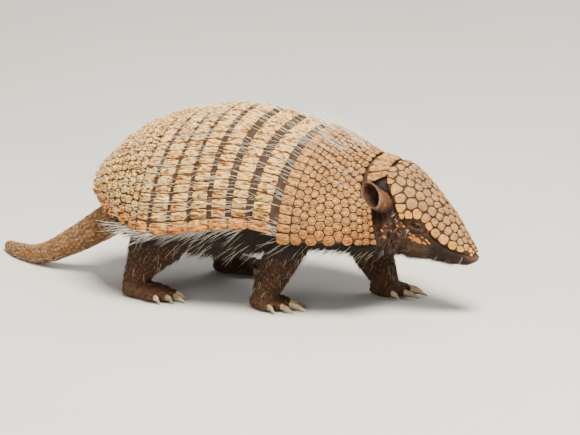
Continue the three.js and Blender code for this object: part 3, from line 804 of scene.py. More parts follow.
def scapular(build):
    end = GAP_EDGES[0][0]
    add_sheet(build, shell_surface, (0.006, end * 0.99), SHEET_HALF, 30, BACK_EDGES)
    rear = t_of_length(length_of_t(end) - SHOULDER_END_ROW)
    add_row(build, rear, end, 0.3, 11, 5)
    rows = t_of_length(np.linspace(length_of_t(rear) - 4.8, 4.0, 10))
    seeds = rows_of_seeds(rows, SHOULDER_ROW, 0.95, 0.8)
    seeds = seeds[seeds[:, 1] <= 0.01]
    seen = pixel_of(shell_surface(*seeds.T))
    seeds = seeds[(seen[:, 0] < APRON_EDGE) | (seen[:, 1] < APRON_TOP)]
    seeds = np.vstack([seeds, seen_seeds(shell_surface, APRON_PLATES, 0.15)])
    seeds = np.vstack([seeds, seeds[seeds[:, 1] < -0.01] * [1, -1]])
    add_scutes(build, shell_surface, cells(shell_surface, seeds, [(0.0, rear), (-1.005, 1.005)], 0.5),
               tone_from(40), front_warm, ringed, dome=0.35, ring_at=RING_SHARE)


def pelvic(build):
    start = GAP_EDGES[6][1]
    add_sheet(build, shell_surface, (start * 1.002, 0.995), SHEET_HALF, 40, BACK_EDGES)
    first = t_of_length(length_of_t(start) + PELVIC_FIRST_ROW)
    add_row(build, start, first, 0.35, 90, 8)
    rows = t_of_length(np.arange(length_of_t(first) + 4.4, LENGTH[-1] - 2, RUMP_ROW))
    seeds = rows_of_seeds(rows, RUMP_WIDTH, 0.955, 1.5)
    add_scutes(build, shell_surface, cells(shell_surface, seeds, [(first, 1.0), (-1.012, 1.012)], 0.7),
               tone_from(140), body_warm, rough_rump, dome=0.4)


shell_piece("scapular_shield", scapular, material=shaded_shoulder_material)
for k in range(6):
    shell_piece(f"band_{k + 1}", band, k)
shell_piece("pelvic_shield", pelvic)


# ---------- nuchal band and head shield ----------

NUCHAL_SHOWN = 0.86


def no_warm(points):
    return np.full(len(points), 0.05)


def nuchal(build):
    add_sheet(build, nuchal_surface, (0.06, 0.9), NUCHAL_SHOWN - 0.02, 6, 41, -0.9, -2.6)
    edges = np.linspace(-NUCHAL_SHOWN, NUCHAL_SHOWN, 9)
    blocks = [(0.04, 0.92, a + 0.008, b - 0.008) for a, b in zip(edges[:-1], edges[1:])]
    add_blocks(build, nuchal_surface, blocks, lambda i: 0.3 * tones[i], no_warm, rough_band)


# Middles of the head's plates, as places in the view, from the nape to the nose.
PLATES = [
    (392.8, 169.5), (391.2, 174.5), (387.9, 180.7), (396.6, 189.0), (400.3, 198.5), (400.7, 208.5),
    (401.9, 180.7), (404.0, 174.0), (410.7, 182.3), (411.1, 176.9), (410.7, 191.9), (412.3, 204.3),
    (418.9, 186.9), (421.0, 195.6), (423.3, 206.5), (427.6, 193.0), (430.0, 201.1), (432.4, 211.3),
    (401.5, 167.4), (407.8, 171.1), (413.1, 169.5), (416.0, 175.7), (419.0, 180.9), (424.0, 184.5),
    (405.3, 162.9), (398.2, 162.4), (437.8, 205.3), (441.3, 210.2), (440.0, 216.2), (435.1, 197.7),
    (442.7, 203.0), (446.3, 210.2), (446.6, 220.3), (452.5, 218.2), (426.8, 218.6), (434.4, 223.0),
    (441.4, 226.2), (455.0, 227.9), (448.4, 231.1), (435.3, 233.0), (461.2, 233.3), (454.5, 237.0),
    (443.4, 238.9), (417.3, 214.0), (401.0, 217.3), (408.0, 215.8), (453.5, 245.1), (460.6, 241.9),
    (460.6, 248.9), (464.9, 239.7), (466.8, 247.3), (469.8, 242.4), (470.9, 250.6), (473.2, 247.0),
    (429.7, 225.8), (474.5, 251.8), (476.0, 247.5), (472.0, 240.5), (467.5, 235.5), (463.0, 228.5),
    (458.0, 221.5), (452.0, 211.5), (447.0, 205.5), (436.0, 190.5), (430.0, 183.5), (421.5, 174.5),
    (413.0, 165.5), (407.5, 160.5),
]
HEAD_END = 0.955
NOSE_ROW = [(0.944, -0.78), (0.944, -0.4), (0.944, 0.0)]


def mirrored_seeds(found, crown=3.4, apart=4.2):
    """Seeds for both sides: those near the crown move onto it, and crowded ones go."""
    found[np.abs(shield_surface(*found.T)[:, 1]) < crown, 1] = 0
    kept = []
    for seed in found:
        place = shield_surface(*seed)
        if all(np.linalg.norm(place - shield_surface(*k)) > apart for k in kept):
            kept.append(seed)
    kept = np.vstack([np.array(kept), NOSE_ROW])
    return np.vstack([kept, kept[kept[:, 1] < 0] * [1, -1]])


def head_shield(build):
    add_sheet(build, shield_surface, (0.015, HEAD_END - 0.008), SHEET_HALF, 60, 71, -0.95, -2.5)
    seeds = mirrored_seeds(seen_seeds(shield_surface, PLATES, 0.92))
    add_scutes(build, shield_surface, cells(shield_surface, seeds, [(0.005, HEAD_END), (-1.0, 1.0)], 0.62),
               tone_from(500), head_warm, rough_head, dome=0.35)


shell_piece("nuchal_band", nuchal, material=shaded_shoulder_material)
shell_piece("head_shield", head_shield, material=head_material)

# ---------- the skin ----------

LEGS = ["leg_fore_right", "leg_fore_left", "leg_hind_right", "leg_hind_left"]
FLESH = ["trunk", "neck", "head", "tail", *LEGS]
EARS = ["ear_right", "ear_left"]
CLAWS = [f"claw{leg[3:]}_{toe}" for leg in LEGS for toe in range(1, 6)]
FLOOR_ROOM = 0.15


def smooth_form(names, grow, voxel, rounds):
    """CAD solids, grown a little and joined into one smooth closed form: points, normals and faces."""
    points, faces, count = [], [], 0
    for name in names:
        solid = bmesh.new()
        solid.from_mesh(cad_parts[name].data)
        bmesh.ops.remove_doubles(solid, verts=solid.verts, dist=1e-6)
        solid.normal_update()
        own = np.array([v.co for v in solid.verts]) / MM - SHIFT
        normals = np.array([v.normal for v in solid.verts])
        points.append((own + normals * grow + SHIFT) * MM)
        faces += [[v.index + count for v in f.verts] for f in solid.faces]
        count += len(own)
        solid.free()
    mesh = bpy.data.meshes.new("form")
    mesh.from_pydata(np.concatenate(points).tolist(), [], faces)
    obj = linked("form", mesh)
    remesh = obj.modifiers.new("remesh", "REMESH")
    remesh.mode, remesh.voxel_size = "VOXEL", voxel * MM
    soften = obj.modifiers.new("smooth", "SMOOTH")
    soften.factor, soften.iterations = 0.5, rounds
    final = obj.evaluated_get(bpy.context.evaluated_depsgraph_get()).to_mesh()
    points, normals = np.empty((2, len(final.vertices) * 3))
    final.vertices.foreach_get("co", points)
    final.vertices.foreach_get("normal", normals)
    corners = np.empty(len(final.loops), dtype=int)
    final.loops.foreach_get("vertex_index", corners)
    obj.to_mesh_clear()
    bpy.data.objects.remove(obj)
    bpy.data.meshes.remove(mesh)
    return points.reshape(-1, 3) / MM - SHIFT, normals.reshape(-1, 3), corners.reshape(-1, 4)


def near(points, centre, radius):
    """1 at a place or its mirror image, falling smoothly to 0 at the given distance."""
    distance = np.linalg.norm(points * [1, np.sign(centre[1]), 1] - centre, axis=-1)
    return smooth(radius, 0, distance)


EDGE_LINE = shell_surface(np.linspace(0, 1, 60), 1.0)


def shell_edge(x):
    """Height of the carapace's lower edge at x."""
    return np.interp(-x, -EDGE_LINE[:, 0], EDGE_LINE[:, 2])


NOSTRIL = np.array([185.4, 3.9, 54.6])
fold_field, crease_field, grain_field, lump_field, leg_field = (
    Waves(size) for size in ((15, 15, 3.2), (3.2, 12, 12), 2.4, 7.0, (9, 9, 3.0)))


def on_leg(p, top=52, fade=12):
    return smooth(top, top - fade, p[:, 2]) * smooth(112, 100, p[:, 0]) * smooth(-176, -166, p[:, 0])


def on_head(p):
    return smooth(108, 118, p[:, 0])


def on_tail(p):
    return smooth(-170, -182, p[:, 0])


def sculpt(points, normals):
    """Wrinkles, folds, the mouth and the nostrils, as moves along the normals."""
    x, y, z = points.T
    head, leg, tail = on_head(points), on_leg(points), on_tail(points)
    neck = smooth(90, 104, x) * smooth(126, 112, x) * (z < 122)
    body = (1 - head) * (1 - leg) * (1 - tail)
    height = 0.10 * grain_field(points) * (1 - 0.6 * smooth(150, 165, x))
    height += leg * (0.2 * leg_field(points) + 0.16 * lump_field(points))
    height += neck * 0.62 * crease_field(points) + body * 0.3 * crease_field(points)
    height += head * smooth(158, 132, x) * 0.42 * fold_field(points)
    lip = 50.4 + 0.0011 * (181 - x) ** 2
    height -= 1.3 * bell(z, lip + 1.6, 0.7) * smooth(136, 150, x) * smooth(185, 182, x)
    height += 0.9 * smooth(182, 185, x + (z - 60) * 0.25) * smooth(51, 56, z)
    height += 0.5 * near(points, NOSTRIL, 4.0) - 2.6 * near(points, NOSTRIL, 2.2)
    height -= 0.5 * bell(y, 0, 0.5) * smooth(181, 184, x) * (z < 58)
    return points + normals * height[:, None]


TONE = {name: linear(*rgb)[:3] for name, rgb in {
    "flank": (84, 60, 46), "belly": (22, 16, 12), "nape": (46, 34, 27), "rump": (62, 44, 32),
    "leg": (54, 36, 23), "foot": (88, 62, 44), "nose": (102, 76, 62), "muzzle": (46, 30, 19),
    "gap": (74, 56, 44), "tail": (108, 80, 54), "ear": (50, 34, 24), "ear_fold": (104, 68, 43),
    "hollow_shade": (28, 16, 11), "ear_wall": (74, 49, 33), "ear_rim": (138, 100, 70), "lid": (50, 34, 27),
    "lid_rim": (112, 78, 56), "cheek_scute": (214, 138, 58), "leg_scute": (98, 62, 38),
    "tail_scute": (158, 114, 70), "rump_scute": (138, 98, 62),
}.items()}


def blend(colour, other, share):
    return colour + (np.asarray(other) - colour) * np.asarray(share)[..., None]


def tinted(points, first, *layers):
    """A colour for each point: the first tone, with each (tone, share) laid over it."""
    colour = np.broadcast_to(TONE[first], points.shape)
    for name, share in layers:
        colour = blend(colour, TONE[name], share)
    return colour


def as_paint(colour):
    return np.concatenate([np.clip(colour, 0.002, 1), np.ones((len(colour), 1))], 1)


def skin_paint(points):
    x, _, z = points.T
    colour = tinted(
        points, "flank",
        # Below the carapace's edge the skin is painted near black: painted shade under the carapace.
        ("belly", smooth(110, 92, x) * smooth(94, 76, z)),
        ("leg", on_leg(points, 74, 40)),
        ("foot", on_leg(points) * smooth(30, 8, z)),
        ("tail", on_tail(points)),
        ("muzzle", smooth(136, 152, x)),
        ("nose", smooth(176, 184, x + (z - 56) * 0.3)),
        ("lid", near(points, EYE, 15)),
        # The nostril is painted near black: painted shade in its hollow.
        ("hollow_shade", np.minimum(1.6 * near(points, NOSTRIL, 2.6), 1)),
        # The top of the neck is darker: painted shade under the front of the carapace and the nuchal band.
        ("nape", smooth(90, 98, x) * smooth(124, 114, x) * smooth(98, 112, z)),
        ("rump", smooth(-150, -160, x) * smooth(-196, -184, x) * smooth(40, 56, z)),
    )
    # Behind the head the colour follows the wrinkles sculpt raises with the same field: painted shade in the
    # creases and painted highlight on the folds, over the skin's own mottle.
    painted_crease_shading = np.clip(crease_field(points), -1.4, 1.4) * on_head(points) * smooth(134, 120, x)
    mottle_and_crease_shading = 1 + 0.14 * lump_field(points) + 0.1 * grain_field(points) + 0.22 * painted_crease_shading
    return as_paint(colour * mottle_and_crease_shading[:, None])


# ---------- ears ----------

EAR = {
    "base": [110, 29.5, 103], "rim": [96, 41.5, 116],
    "facing": [-0.35, 0.88, 0.32], "long": [-0.69, -0.45, 0.57],
    "base_radii": [6.5, 6], "rim_radii": [14.8, 9.6], "wall": 1.2,
}
EAR_SIDES, EAR_OUTER, EAR_INNER = 56, 22, 18


def ear_ring(t, wall, side, fold=0.0):
    """One ring of the ear's funnel, t from its root to its rim; fold swells its front."""
    base, rim, aim, long = (np.array(EAR[key]) * [1, side, 1] for key in ("base", "rim", "facing", "long"))
    axis = unit(rim - base)
    facing = unit(axis + (aim - axis) * smooth(0.2, 1, t))
    long = tangent(long, facing)
    short = np.cross(facing, long) * side
    swell = math.sin(math.pi / 2 * min(max(t, 0), 1))
    a, b = (r0 + (r1 - r0) * swell - wall for r0, r1 in zip(EAR["base_radii"], EAR["rim_radii"]))
    s = turns(EAR_SIDES)
    centre = base + (rim - base) * t
    offset = long * (a * np.cos(s))[:, None] + short * (b * np.sin(s))[:, None]
    front = smooth(0.1, 1.0, unit(offset)[:, 0])
    return centre + offset + unit(offset) * (front * fold)[:, None], centre, front


def add_ear(build, side):
    plan = [(t, 0, 2.4 * math.sin(math.pi * max(t, 0) ** 0.8)) for t in np.linspace(-0.45, 1, EAR_OUTER)]
    plan += [(1.04, EAR["wall"] / 2, 0.0)]
    plan += [(t, EAR["wall"] * (1.9 - 0.9 * t), 0.0) for t in np.linspace(1, 0.1, EAR_INNER)]
    rings, centres, fronts = zip(*(ear_ring(t, wall, side, fold) for t, wall, fold in plan))
    points, front = np.concatenate(rings), np.concatenate(fronts)
    out = unit(points - np.repeat(centres, EAR_SIDES, axis=0))
    points = points + out * (0.14 * grain_field(points) + 0.26 * lump_field(points * 1.6))[:, None]
    level = np.repeat([t for t, *_ in plan], EAR_SIDES)
    inside = np.arange(len(points)) >= (EAR_OUTER + 1) * EAR_SIDES
    colour = tinted(points, "ear", ("ear_fold", front * smooth(-0.1, 0.3, level)))
    # Inside the ear the colour goes near black deeper in and on the front wall: painted shade in the ear's
    # hollow.
    hollow = tinted(points, "ear_wall", ("hollow_shade", np.maximum(front, smooth(0.7, 0.2, level))))
    colour = blend(np.where(inside[:, None], hollow, colour), TONE["ear_rim"], smooth(0.88, 1, level))
    cap = np.arange(EAR_SIDES)[None]
    blocks = (grid_faces(len(plan), EAR_SIDES, closed=True), cap[:, ::-1], cap + (len(plan) - 1) * EAR_SIDES)
    build.add(points, outward(points, blocks, out[0], FIRST),
              as_paint(colour * (1 + 0.2 * lump_field(points * 1.5))[:, None]))


# ---------- eyelids ----------

EYE_OUT = np.array([0.16, 0.94, 0.3])
LID_LONG = np.array([0.86, -0.2, -0.36])
LID_STEPS, LID_SIDES = 20, 64
PROBE_FAR = 30


def head_tree():
    """The head's own smooth surface, for laying the lids on."""
    points = head_point(*pairs(np.linspace(0.05, 0.95, 90), np.linspace(-179, 179, 121)))
    return BVHTree.FromPolygons(points.tolist(), grid_faces(90, 121).tolist())


def ray_height(tree, point, out):
    """How far the tree's surface is from a point along the outward direction."""
    hit = tree.ray_cast(Vector(point + out * PROBE_FAR), Vector(-out), 2 * PROBE_FAR)
    return PROBE_FAR - hit[3] if hit[0] is not None else 2.0


def add_lids(build, side, tree):
    """Both lids as one ring, from the edge that rests on the eye out to the surface of the head."""
    centre, out, long = (v * [1, side, 1] for v in (EYE, EYE_OUT, LID_LONG))
    out = unit(out)
    long = tangent(long, out)
    up = np.cross(out, long)
    up = up * np.sign(up[2])
    s = turns(LID_SIDES)
    rings, shares = [], np.concatenate([[0], np.linspace(0, 1, LID_STEPS)])
    for k, f in enumerate(shares):
        a = 3.7 + 6.2 * f
        b = np.where(np.sin(s) > 0, 2.15 + 4.8 * f, 1.75 + 4.7 * f)
        corner = 1 + 0.24 * (1 - f) * np.abs(np.cos(s)) ** 6
        flat = long * (a * np.cos(s) * corner)[:, None] + up * (b * np.sin(s))[:, None]
        reach = np.linalg.norm(flat, axis=1)
        on_ball = np.sqrt(np.maximum((EYE_RADIUS + 0.3) ** 2 - reach ** 2, 1.5))
        on_skull = np.array([ray_height(tree, centre + p, out) for p in flat])
        crest = 0.85 * bell(f, 0.14, 0.1) + 0.7 * bell(f, 0.5, 0.09)
        height = on_ball + (on_skull - on_ball) * smooth(0.12, 0.75, f) + crest - 0.9 * smooth(0.85, 1.0, f)
        height -= 0.5 * (f == 0) + 1.6 * (k == 0)
        rings.append(centre + flat + out * height[:, None])
    points = np.concatenate(rings)
    points = points + out * (0.1 * grain_field(points * 1.4))[:, None]
    faces = outward(points, (grid_faces(len(rings), LID_SIDES, closed=True),), out)
    share = np.repeat(shares, LID_SIDES)
    crest = np.clip(bell(share, 0.2, 0.12) + 0.6 * bell(share, 0.52, 0.08), 0, 1)
    colour = tinted(points, "lid", ("lid_rim", crest), ("lid", smooth(0.7, 1, share)))
    build.add(points, faces, as_paint(colour * (1 + 0.15 * grain_field(points))[:, None]))


FOLD_MM = 1.25


def add_gap_skin(build):
    """Folded skin between the bands."""
    wrinkle = Waves((3.0, 30, 30))
    for t0, t1 in GAP_EDGES:
        room = (t1 - t0) * 0.5
        phase = RNG.uniform(0, 2 * math.pi)

        def fold(points, t):
            return np.sin(length_of_t(t) * 2 * math.pi / FOLD_MM + phase + 0.5 * wrinkle(points))

        def relief(points, t):
            return 0.3 * fold(points, t) + 0.12 * grain_field(points)

        def paint(points, t):
            colour = tinted(points, "gap") * (1 + 0.14 * lump_field(points))[:, None]
            # Where the fold rises the skin is blended towards a lighter copy of its colour: painted highlight
            # on the crests of the folds.
            return as_paint(blend(colour, colour * 1.7, smooth(0.5, 1.0, fold(points, t)) * 0.7))

        add_sheet(build, shell_surface, (t0 - room, t1 + room), 0.975, 34, 181, -1.75, -3.9, paint, relief)


def make_skin():
    build, tree = Build(), head_tree()
    rest, normals, faces = smooth_form(FLESH, grow=0.55, voxel=1.2, rounds=14)
    points = sculpt(rest, normals)
    points[:, 2] = np.maximum(points[:, 2], FLOOR_ROOM)
    build.add(points, (faces,), skin_paint(points))
    for side in (-1, 1):
        add_ear(build, side)
        add_lids(build, side, tree)
    add_gap_skin(build)
    placed(build.object("flesh_skin", SKIN), "skin", *FLESH, *EARS)
    return points, normals, faces


skin_points, skin_normals, skin_faces = make_skin()
SKIN_TREE = BVHTree.FromPolygons(skin_points.tolist(), skin_faces.tolist())


def make_claws():
    points, _, faces = smooth_form(CLAWS, grow=0.35, voxel=0.4, rounds=8)
    points[:, 2] = np.maximum(points[:, 2], FLOOR_ROOM)
    build = Build()
    build.add(points, (faces,), (1, 1, 1, 1))
    placed(build.object("claws", CLAW), "claw", *CLAWS)


make_claws()

# ---------- small scutes on the skin ----------

PATCH = 0.003


def add_copies(build, points, blocks, out, paint, place, uv):
    """Many copies of one small form, each with its patch of the OFBake map round its place.

    points is (copies, points of one, 3). blocks and uv belong to one copy, whose first face looks out."""
    points[..., 2] = np.maximum(points[..., 2], FLOOR_ROOM)
    step = (np.arange(len(points)) * points.shape[1])[:, None, None]
    faces = [(f + step).reshape(-1, f.shape[1]) for f in outward(points[0], blocks, out, FIRST)]
    build.add(points, faces, paint.reshape(-1, 4), uv=(place[:, None] + uv * PATCH).reshape(-1, 2))


# A small scute's rings: (share of its width, share of its height).
PAD_RINGS = np.array([(1.0, -0.55), (0.97, -0.05), (0.85, 0.28), (0.55, 0.5), (0.2, 0.58)])
PAD_TOP, PAD_SIDES = 0.6, 12


def skin_scutes(name, roots, out, way, sizes, tone, place, spread_by=0.2):
    """A piece of low rounded scutes standing on the skin, long along the way. sizes is (long, wide, high)."""
    count = len(roots)
    colour = np.asarray(TONE[tone]) * RNG.uniform(1 - spread_by, 1 + spread_by, (count, 1))
    out = unit(out)
    way = tangent(np.broadcast_to(way, roots.shape), out)
    side = np.cross(out, way)
    long, wide, high = (np.broadcast_to(v, count)[:, None, None] for v in sizes)
    shares, heights = np.repeat(PAD_RINGS, PAD_SIDES, axis=0).T
    u, v = (np.append(power(np.tile(f(turns(PAD_SIDES)), len(PAD_RINGS)), 0.8) * shares, 0)
            for f in (np.cos, np.sin))
    h = np.append(heights, PAD_TOP)
    points = (roots[:, None] + way[:, None] * u[None, :, None] * long / 2
              + side[:, None] * v[None, :, None] * wide / 2 + out[:, None] * h[None, :, None] * high)
    blocks = (grid_faces(len(PAD_RINGS), PAD_SIDES, closed=True),
              fan_faces((len(PAD_RINGS) - 1) * PAD_SIDES, PAD_SIDES, len(h) - 1))
    shade = 1 - 0.55 * smooth(0.84, 1.0, np.hypot(u, v))
    paint = as_paint((colour[:, None] * shade[None, :, None]).reshape(-1, 3))
    build = Build()
    add_copies(build, points, blocks, out[0], paint, place(roots), np.stack([u, v], -1) / 2)
    build.coat(name, SKIN)


def spread(mask, apart, tries=9000):
    """Vertices of the skin within the mask, at least so far apart."""
    kept, chosen = np.empty((0, 3)), []
    for i in RNG.permutation(np.flatnonzero(mask))[:tries]:
        if not len(kept) or np.min(np.sum((kept - skin_points[i]) ** 2, axis=1)) > apart ** 2:
            kept = np.vstack([kept, skin_points[i]])
            chosen.append(i)
    return np.array(chosen)


def round_share(across, up):
    return np.arctan2(across, up) / (2 * math.pi) + 0.5


UNWRAP_REAR, UNWRAP_LENGTH, UNWRAP_LEG = -330, 540, 110
MAP_EDGE, MAP_ROOM = 0.01, 0.98


def girth_place(points):
    """A place on an unwrap of the body: x along it, and the angle round its middle line."""
    x, y, z = points.T
    middle = np.interp(x, [-300, -180, -140, 100, 190], [6, 62, 90, 95, 62])
    sway = np.interp(x, [-310, -254, -210], [46, 9, 0])
    along = (x - UNWRAP_REAR) / UNWRAP_LENGTH
    return MAP_EDGE + MAP_ROOM * np.stack([along, round_share(y - sway, z - middle)], -1)


# The middle line of each leg: x and y at the heights AXIS_Z.
AXIS_Z = [9, 17, 46, 80, 100]
LEG_AXIS = {
    "leg_fore_right": ([-7, -5, 9, 27, 36], [-46, -46, -47, -43, -36]),
    "leg_fore_left": ([82, 80, 65, 54, 62], [38, 38, 40, 41, 36]),
    "leg_hind_right": ([-134, -132, -116, -106, -112], [-54, -54, -54, -46, -36]),
    "leg_hind_left": ([-88, -86, -73, -86, -100], [53, 53, 53, 46, 36]),
}


def off_axis(leg, points):
    return (points[:, k] - np.interp(points[:, 2], AXIS_Z, line) for k, line in enumerate(LEG_AXIS[leg]))


def leg_place(leg):
    """A place on an unwrap of a leg: the angle round its axis, and the height."""
    def place(points):
        x, y = off_axis(leg, points)
        return MAP_EDGE + np.stack([MAP_ROOM * round_share(y, x), points[:, 2] / UNWRAP_LEG], -1)
    return place


LEG_REACH, TAIL_FRONT = 34, -168


def leg_mask(leg, top):
    """The skin of a leg below a height: what is near its axis and not on the tail."""
    x, y = off_axis(leg, skin_points)
    return (np.hypot(x - 8, y) < LEG_REACH) & (skin_points[:, 2] < top) & (skin_points[:, 0] > TAIL_FRONT)


# Cheek scutes as seen: (px, py, length, width in mm).
CHEEK_PADS = [
    (401.5, 223.4, 4, 2), (404, 226.7, 3.6, 2), (407, 230.5, 3.4, 2), (409.6, 233.7, 3.6, 2.2),
    (410.7, 237.5, 3.6, 2.6), (413.4, 236, 3.6, 2.4), (412.5, 239.8, 3.6, 2), (418.2, 240.4, 14.5, 5.4),
    (424.4, 243.2, 4.6, 2.6), (426.6, 240.4, 4.2, 1.8), (429, 243, 3.8, 1.8), (422.5, 237.4, 3.4, 1.6),
    (427.5, 231.6, 3, 1.6), (397.4, 226, 4, 1.5), (400.4, 230.5, 3.6, 1.5), (398.8, 234, 3.2, 1.5),
    (396, 220, 3.4, 1.5), (381.8, 230.5, 4, 2.2), (384.4, 237.1, 4, 2.4), (386, 226, 3, 1.4),
    (391, 231, 3, 1.4),
]


def seen_on_skin(px, py):
    """Where a place in the view falls on the skin, with the outward direction there, or nothing."""
    ray = unit(RIGHT * (px - FRAME_PX[0] / 2) / PX_SCALE - UP * (py - FRAME_PX[1] / 2) / PX_SCALE - BACK)
    eye = (np.array(AIM) + BACK * DISTANCE) / MM - SHIFT
    hit = SKIN_TREE.ray_cast(Vector(eye), Vector(ray))
    return [] if hit[0] is None else [*hit[0], *hit[1]]


TAIL_PATH = np.array([
    [-160, 0, 66], [-178, 0, 58], [-190, 0, 50], [-210, 1, 37], [-232, 4, 24], [-254, 9, 12.5],
    [-275, 18, 7.4], [-296, 31, 5.9], [-310, 46, 4.2], [-313, 49, 4.0],
])


def tail_scutes():
    """Rings of scutes round the tail, finer towards its tip."""
    reach = running(TAIL_PATH)
    rows, at, row = [], 0.0, 0
    while at < reach[-1] - 1:
        size = np.interp(at, reach[[0, -1]], [6.2, 3.6])
        centre, ahead = (np.array([np.interp(s, reach, line) for line in TAIL_PATH.T]) for s in (at, at + 2))
        way = unit(ahead - centre)
        across = unit(np.cross(way, [0, 0, 1]))
        up = np.cross(across, way)
        rays = (across * math.cos(turn) + up * math.sin(turn) for turn in turns(48))
        found = (SKIN_TREE.ray_cast(Vector(centre), Vector(ray), 30) for ray in rays)
        hits = np.array([[*hit[0], *hit[1], *way, size] for hit in found if hit[0] is not None])
        if len(hits) > 4:
            girth = np.sum(np.linalg.norm(np.diff(hits[:, :3], axis=0, append=hits[:1, :3]), axis=1))
            count = max(6, int(round(girth / (size * 0.9))))
            pick = ((np.arange(count) + 0.5 * (row % 2)) * len(hits) / count).astype(int) % len(hits)
            rows.append(hits[np.unique(pick)])
        at += size * 0.88
        row += 1
    roots, out, way, size = np.split(np.concatenate(rows), [3, 6, 9], axis=1)
    size = size[:, 0]
    skin_scutes("tail_scutes", roots, out, way, (size, size * 0.86, 1.0), "tail_scute", girth_place)


spots = [[*seen_on_skin(px, py), long, wide] for px, py, long, wide in CHEEK_PADS]
spots = np.array([spot for spot in spots if len(spot) == 8])
spots = np.vstack([spots, spots * [1, -1, 1, 1, -1, 1, 1, 1]])
skin_scutes("cheek_scutes", spots[:, :3], spots[:, 3:6], (0.75, 0, -0.66), (spots[:, 6], spots[:, 7], 1.5),
            "cheek_scute", girth_place)
x, y, z = skin_points.T
for leg in LEGS:
    chosen = spread(leg_mask(leg, 52) & (z > 3), 3.3)
    size = np.interp(z[chosen], [0, 20, 52], [2.7, 3.1, 2.9])
    skin_scutes(leg + "_scutes", skin_points[chosen], skin_normals[chosen], (-0.2, 0, -1.0),
                (size * 1.15, size * 0.95, 0.85), "leg_scute", leg_place(leg), 0.25)
chosen = spread((x < -138) & (x > -190) & (z > 46) & (z < 100) & (skin_normals[:, 0] < -0.2), 5.6)
skin_scutes("rump_scutes", skin_points[chosen], skin_normals[chosen], (-0.3, 0, -1.0), (5.6, 5.0, 1.0),
            "rump_scute", girth_place)
tail_scutes()

# ---------- hair ----------

HAIR_RINGS, HAIR_SIDES, EMBED = 6, 3, 0.5


def add_hairs(build, roots, out, way, length, radius, stand, bend, place):
    """Tapered hairs. stand is how far each leans out at its root; bend is added to its way at the tip."""
    count = len(roots)
    length, radius, stand = (np.broadcast_to(v, count).astype(float) for v in (length, radius, stand))
    length = length * RNG.uniform(0.6, 1.15, count)
    out = unit(out)
    way = tangent(np.broadcast_to(way, roots.shape) + RNG.normal(0, 0.16, roots.shape), out)
    start = unit(way * (1 - stand[:, None]) + out * stand[:, None] + RNG.normal(0, 0.07, roots.shape))
    turn = np.broadcast_to(bend, roots.shape) * RNG.uniform(0.5, 1.4, (count, 1))
    s = np.linspace(0, 1, HAIR_RINGS + 1)
    middle = (roots - out * EMBED)[:, None] + length[:, None, None] * (
        start[:, None] * s[None, :, None] + turn[:, None] * (s ** 2)[None, :, None] / 2)
    along = unit(start[:, None] + turn[:, None] * s[None, :, None])
    side = unit(np.cross(along, out[:, None] + 0.01))
    lift = np.cross(side, along)
    angle = np.array([90, 210, 330])[:, None] * RAD
    thick = (radius[:, None] * (1 - 0.75 * s[:-1] ** 1.6))[:, :, None, None]
    round_it = side[:, :-1, None] * np.cos(angle) + lift[:, :-1, None] * np.sin(angle)
    rings = (middle[:, :-1, None] + round_it * thick).reshape(count, -1, 3)
    points = np.concatenate([rings, middle[:, -1:]], axis=1)
    size = points.shape[1]
    blocks = (grid_faces(HAIR_RINGS, HAIR_SIDES, closed=True),
              fan_faces((HAIR_RINGS - 1) * HAIR_SIDES, HAIR_SIDES, size - 1),
              np.arange(HAIR_SIDES)[None, ::-1])
    share = np.append(np.repeat(s[:-1], HAIR_SIDES), 1.0)
    paint = np.zeros((count, size, 4))
    paint[..., 0], paint[..., 1], paint[..., 3] = share, RNG.uniform(0, 1, (count, 1)), 1
    across = np.append(np.tile(np.arange(HAIR_SIDES) - 1.0, HAIR_RINGS), 0.0)
    add_copies(build, points, blocks, points[0, 0] - middle[0, 0], paint, place,
               np.stack([across / 2, share - 0.5], -1))


def shell_place(t, w):
    """A place on an unwrap of the carapace."""
    return MAP_EDGE + MAP_ROOM * np.stack([t, (w + 1) / 2], -1)


def shell_hairs(build, t, w, length, radius, stand, bend, sink=0.2):
    roots, out = shell_surface(t, w), normals_of(shell_surface, t, w)
    way = unit(shell_surface(t + 0.01, w) - roots)
    add_hairs(build, roots - out * sink, out, way, length, radius, stand, bend, shell_place(t, w))


# Hairs behind a band for every 9 mm, and over the rump, over the shoulders and in each side's fringe.
BAND_HAIRS, RUMP_HAIRS, NAPE_HAIRS, FRINGE_HAIRS = 3.8, 420, 150, 170


def carapace_hair():
    """Hairs behind each band, over the rump and over the front of the shoulders."""
    build = Build()
    for t1, _ in GAP_EDGES:
        count = int(half_arc(t1) * 2 / 9 * BAND_HAIRS)
        w = RNG.uniform(-0.98, 0.98, count)
        shell_hairs(build, t1 - 0.002 + RNG.uniform(-0.004, 0.001, count), w, RNG.uniform(6, 22, count),
                    0.16, 0.2, (0, 0, -0.12))
    t, w = RNG.uniform(0.74, 0.99, RUMP_HAIRS), RNG.uniform(-0.97, 0.97, RUMP_HAIRS)
    shell_hairs(build, t, w, RNG.uniform(7, 18, RUMP_HAIRS), 0.19, 0.3, (0, 0, -0.15))
    t, w = RNG.uniform(0.01, 0.25, NAPE_HAIRS), RNG.normal(0, 0.26, NAPE_HAIRS).clip(-0.5, 0.5)
    shell_hairs(build, t, w, RNG.uniform(14, 34, NAPE_HAIRS), 0.2, 0.24, (-0.1, 0, -0.05))
    build.coat("carapace_hair", PALE_HAIR)


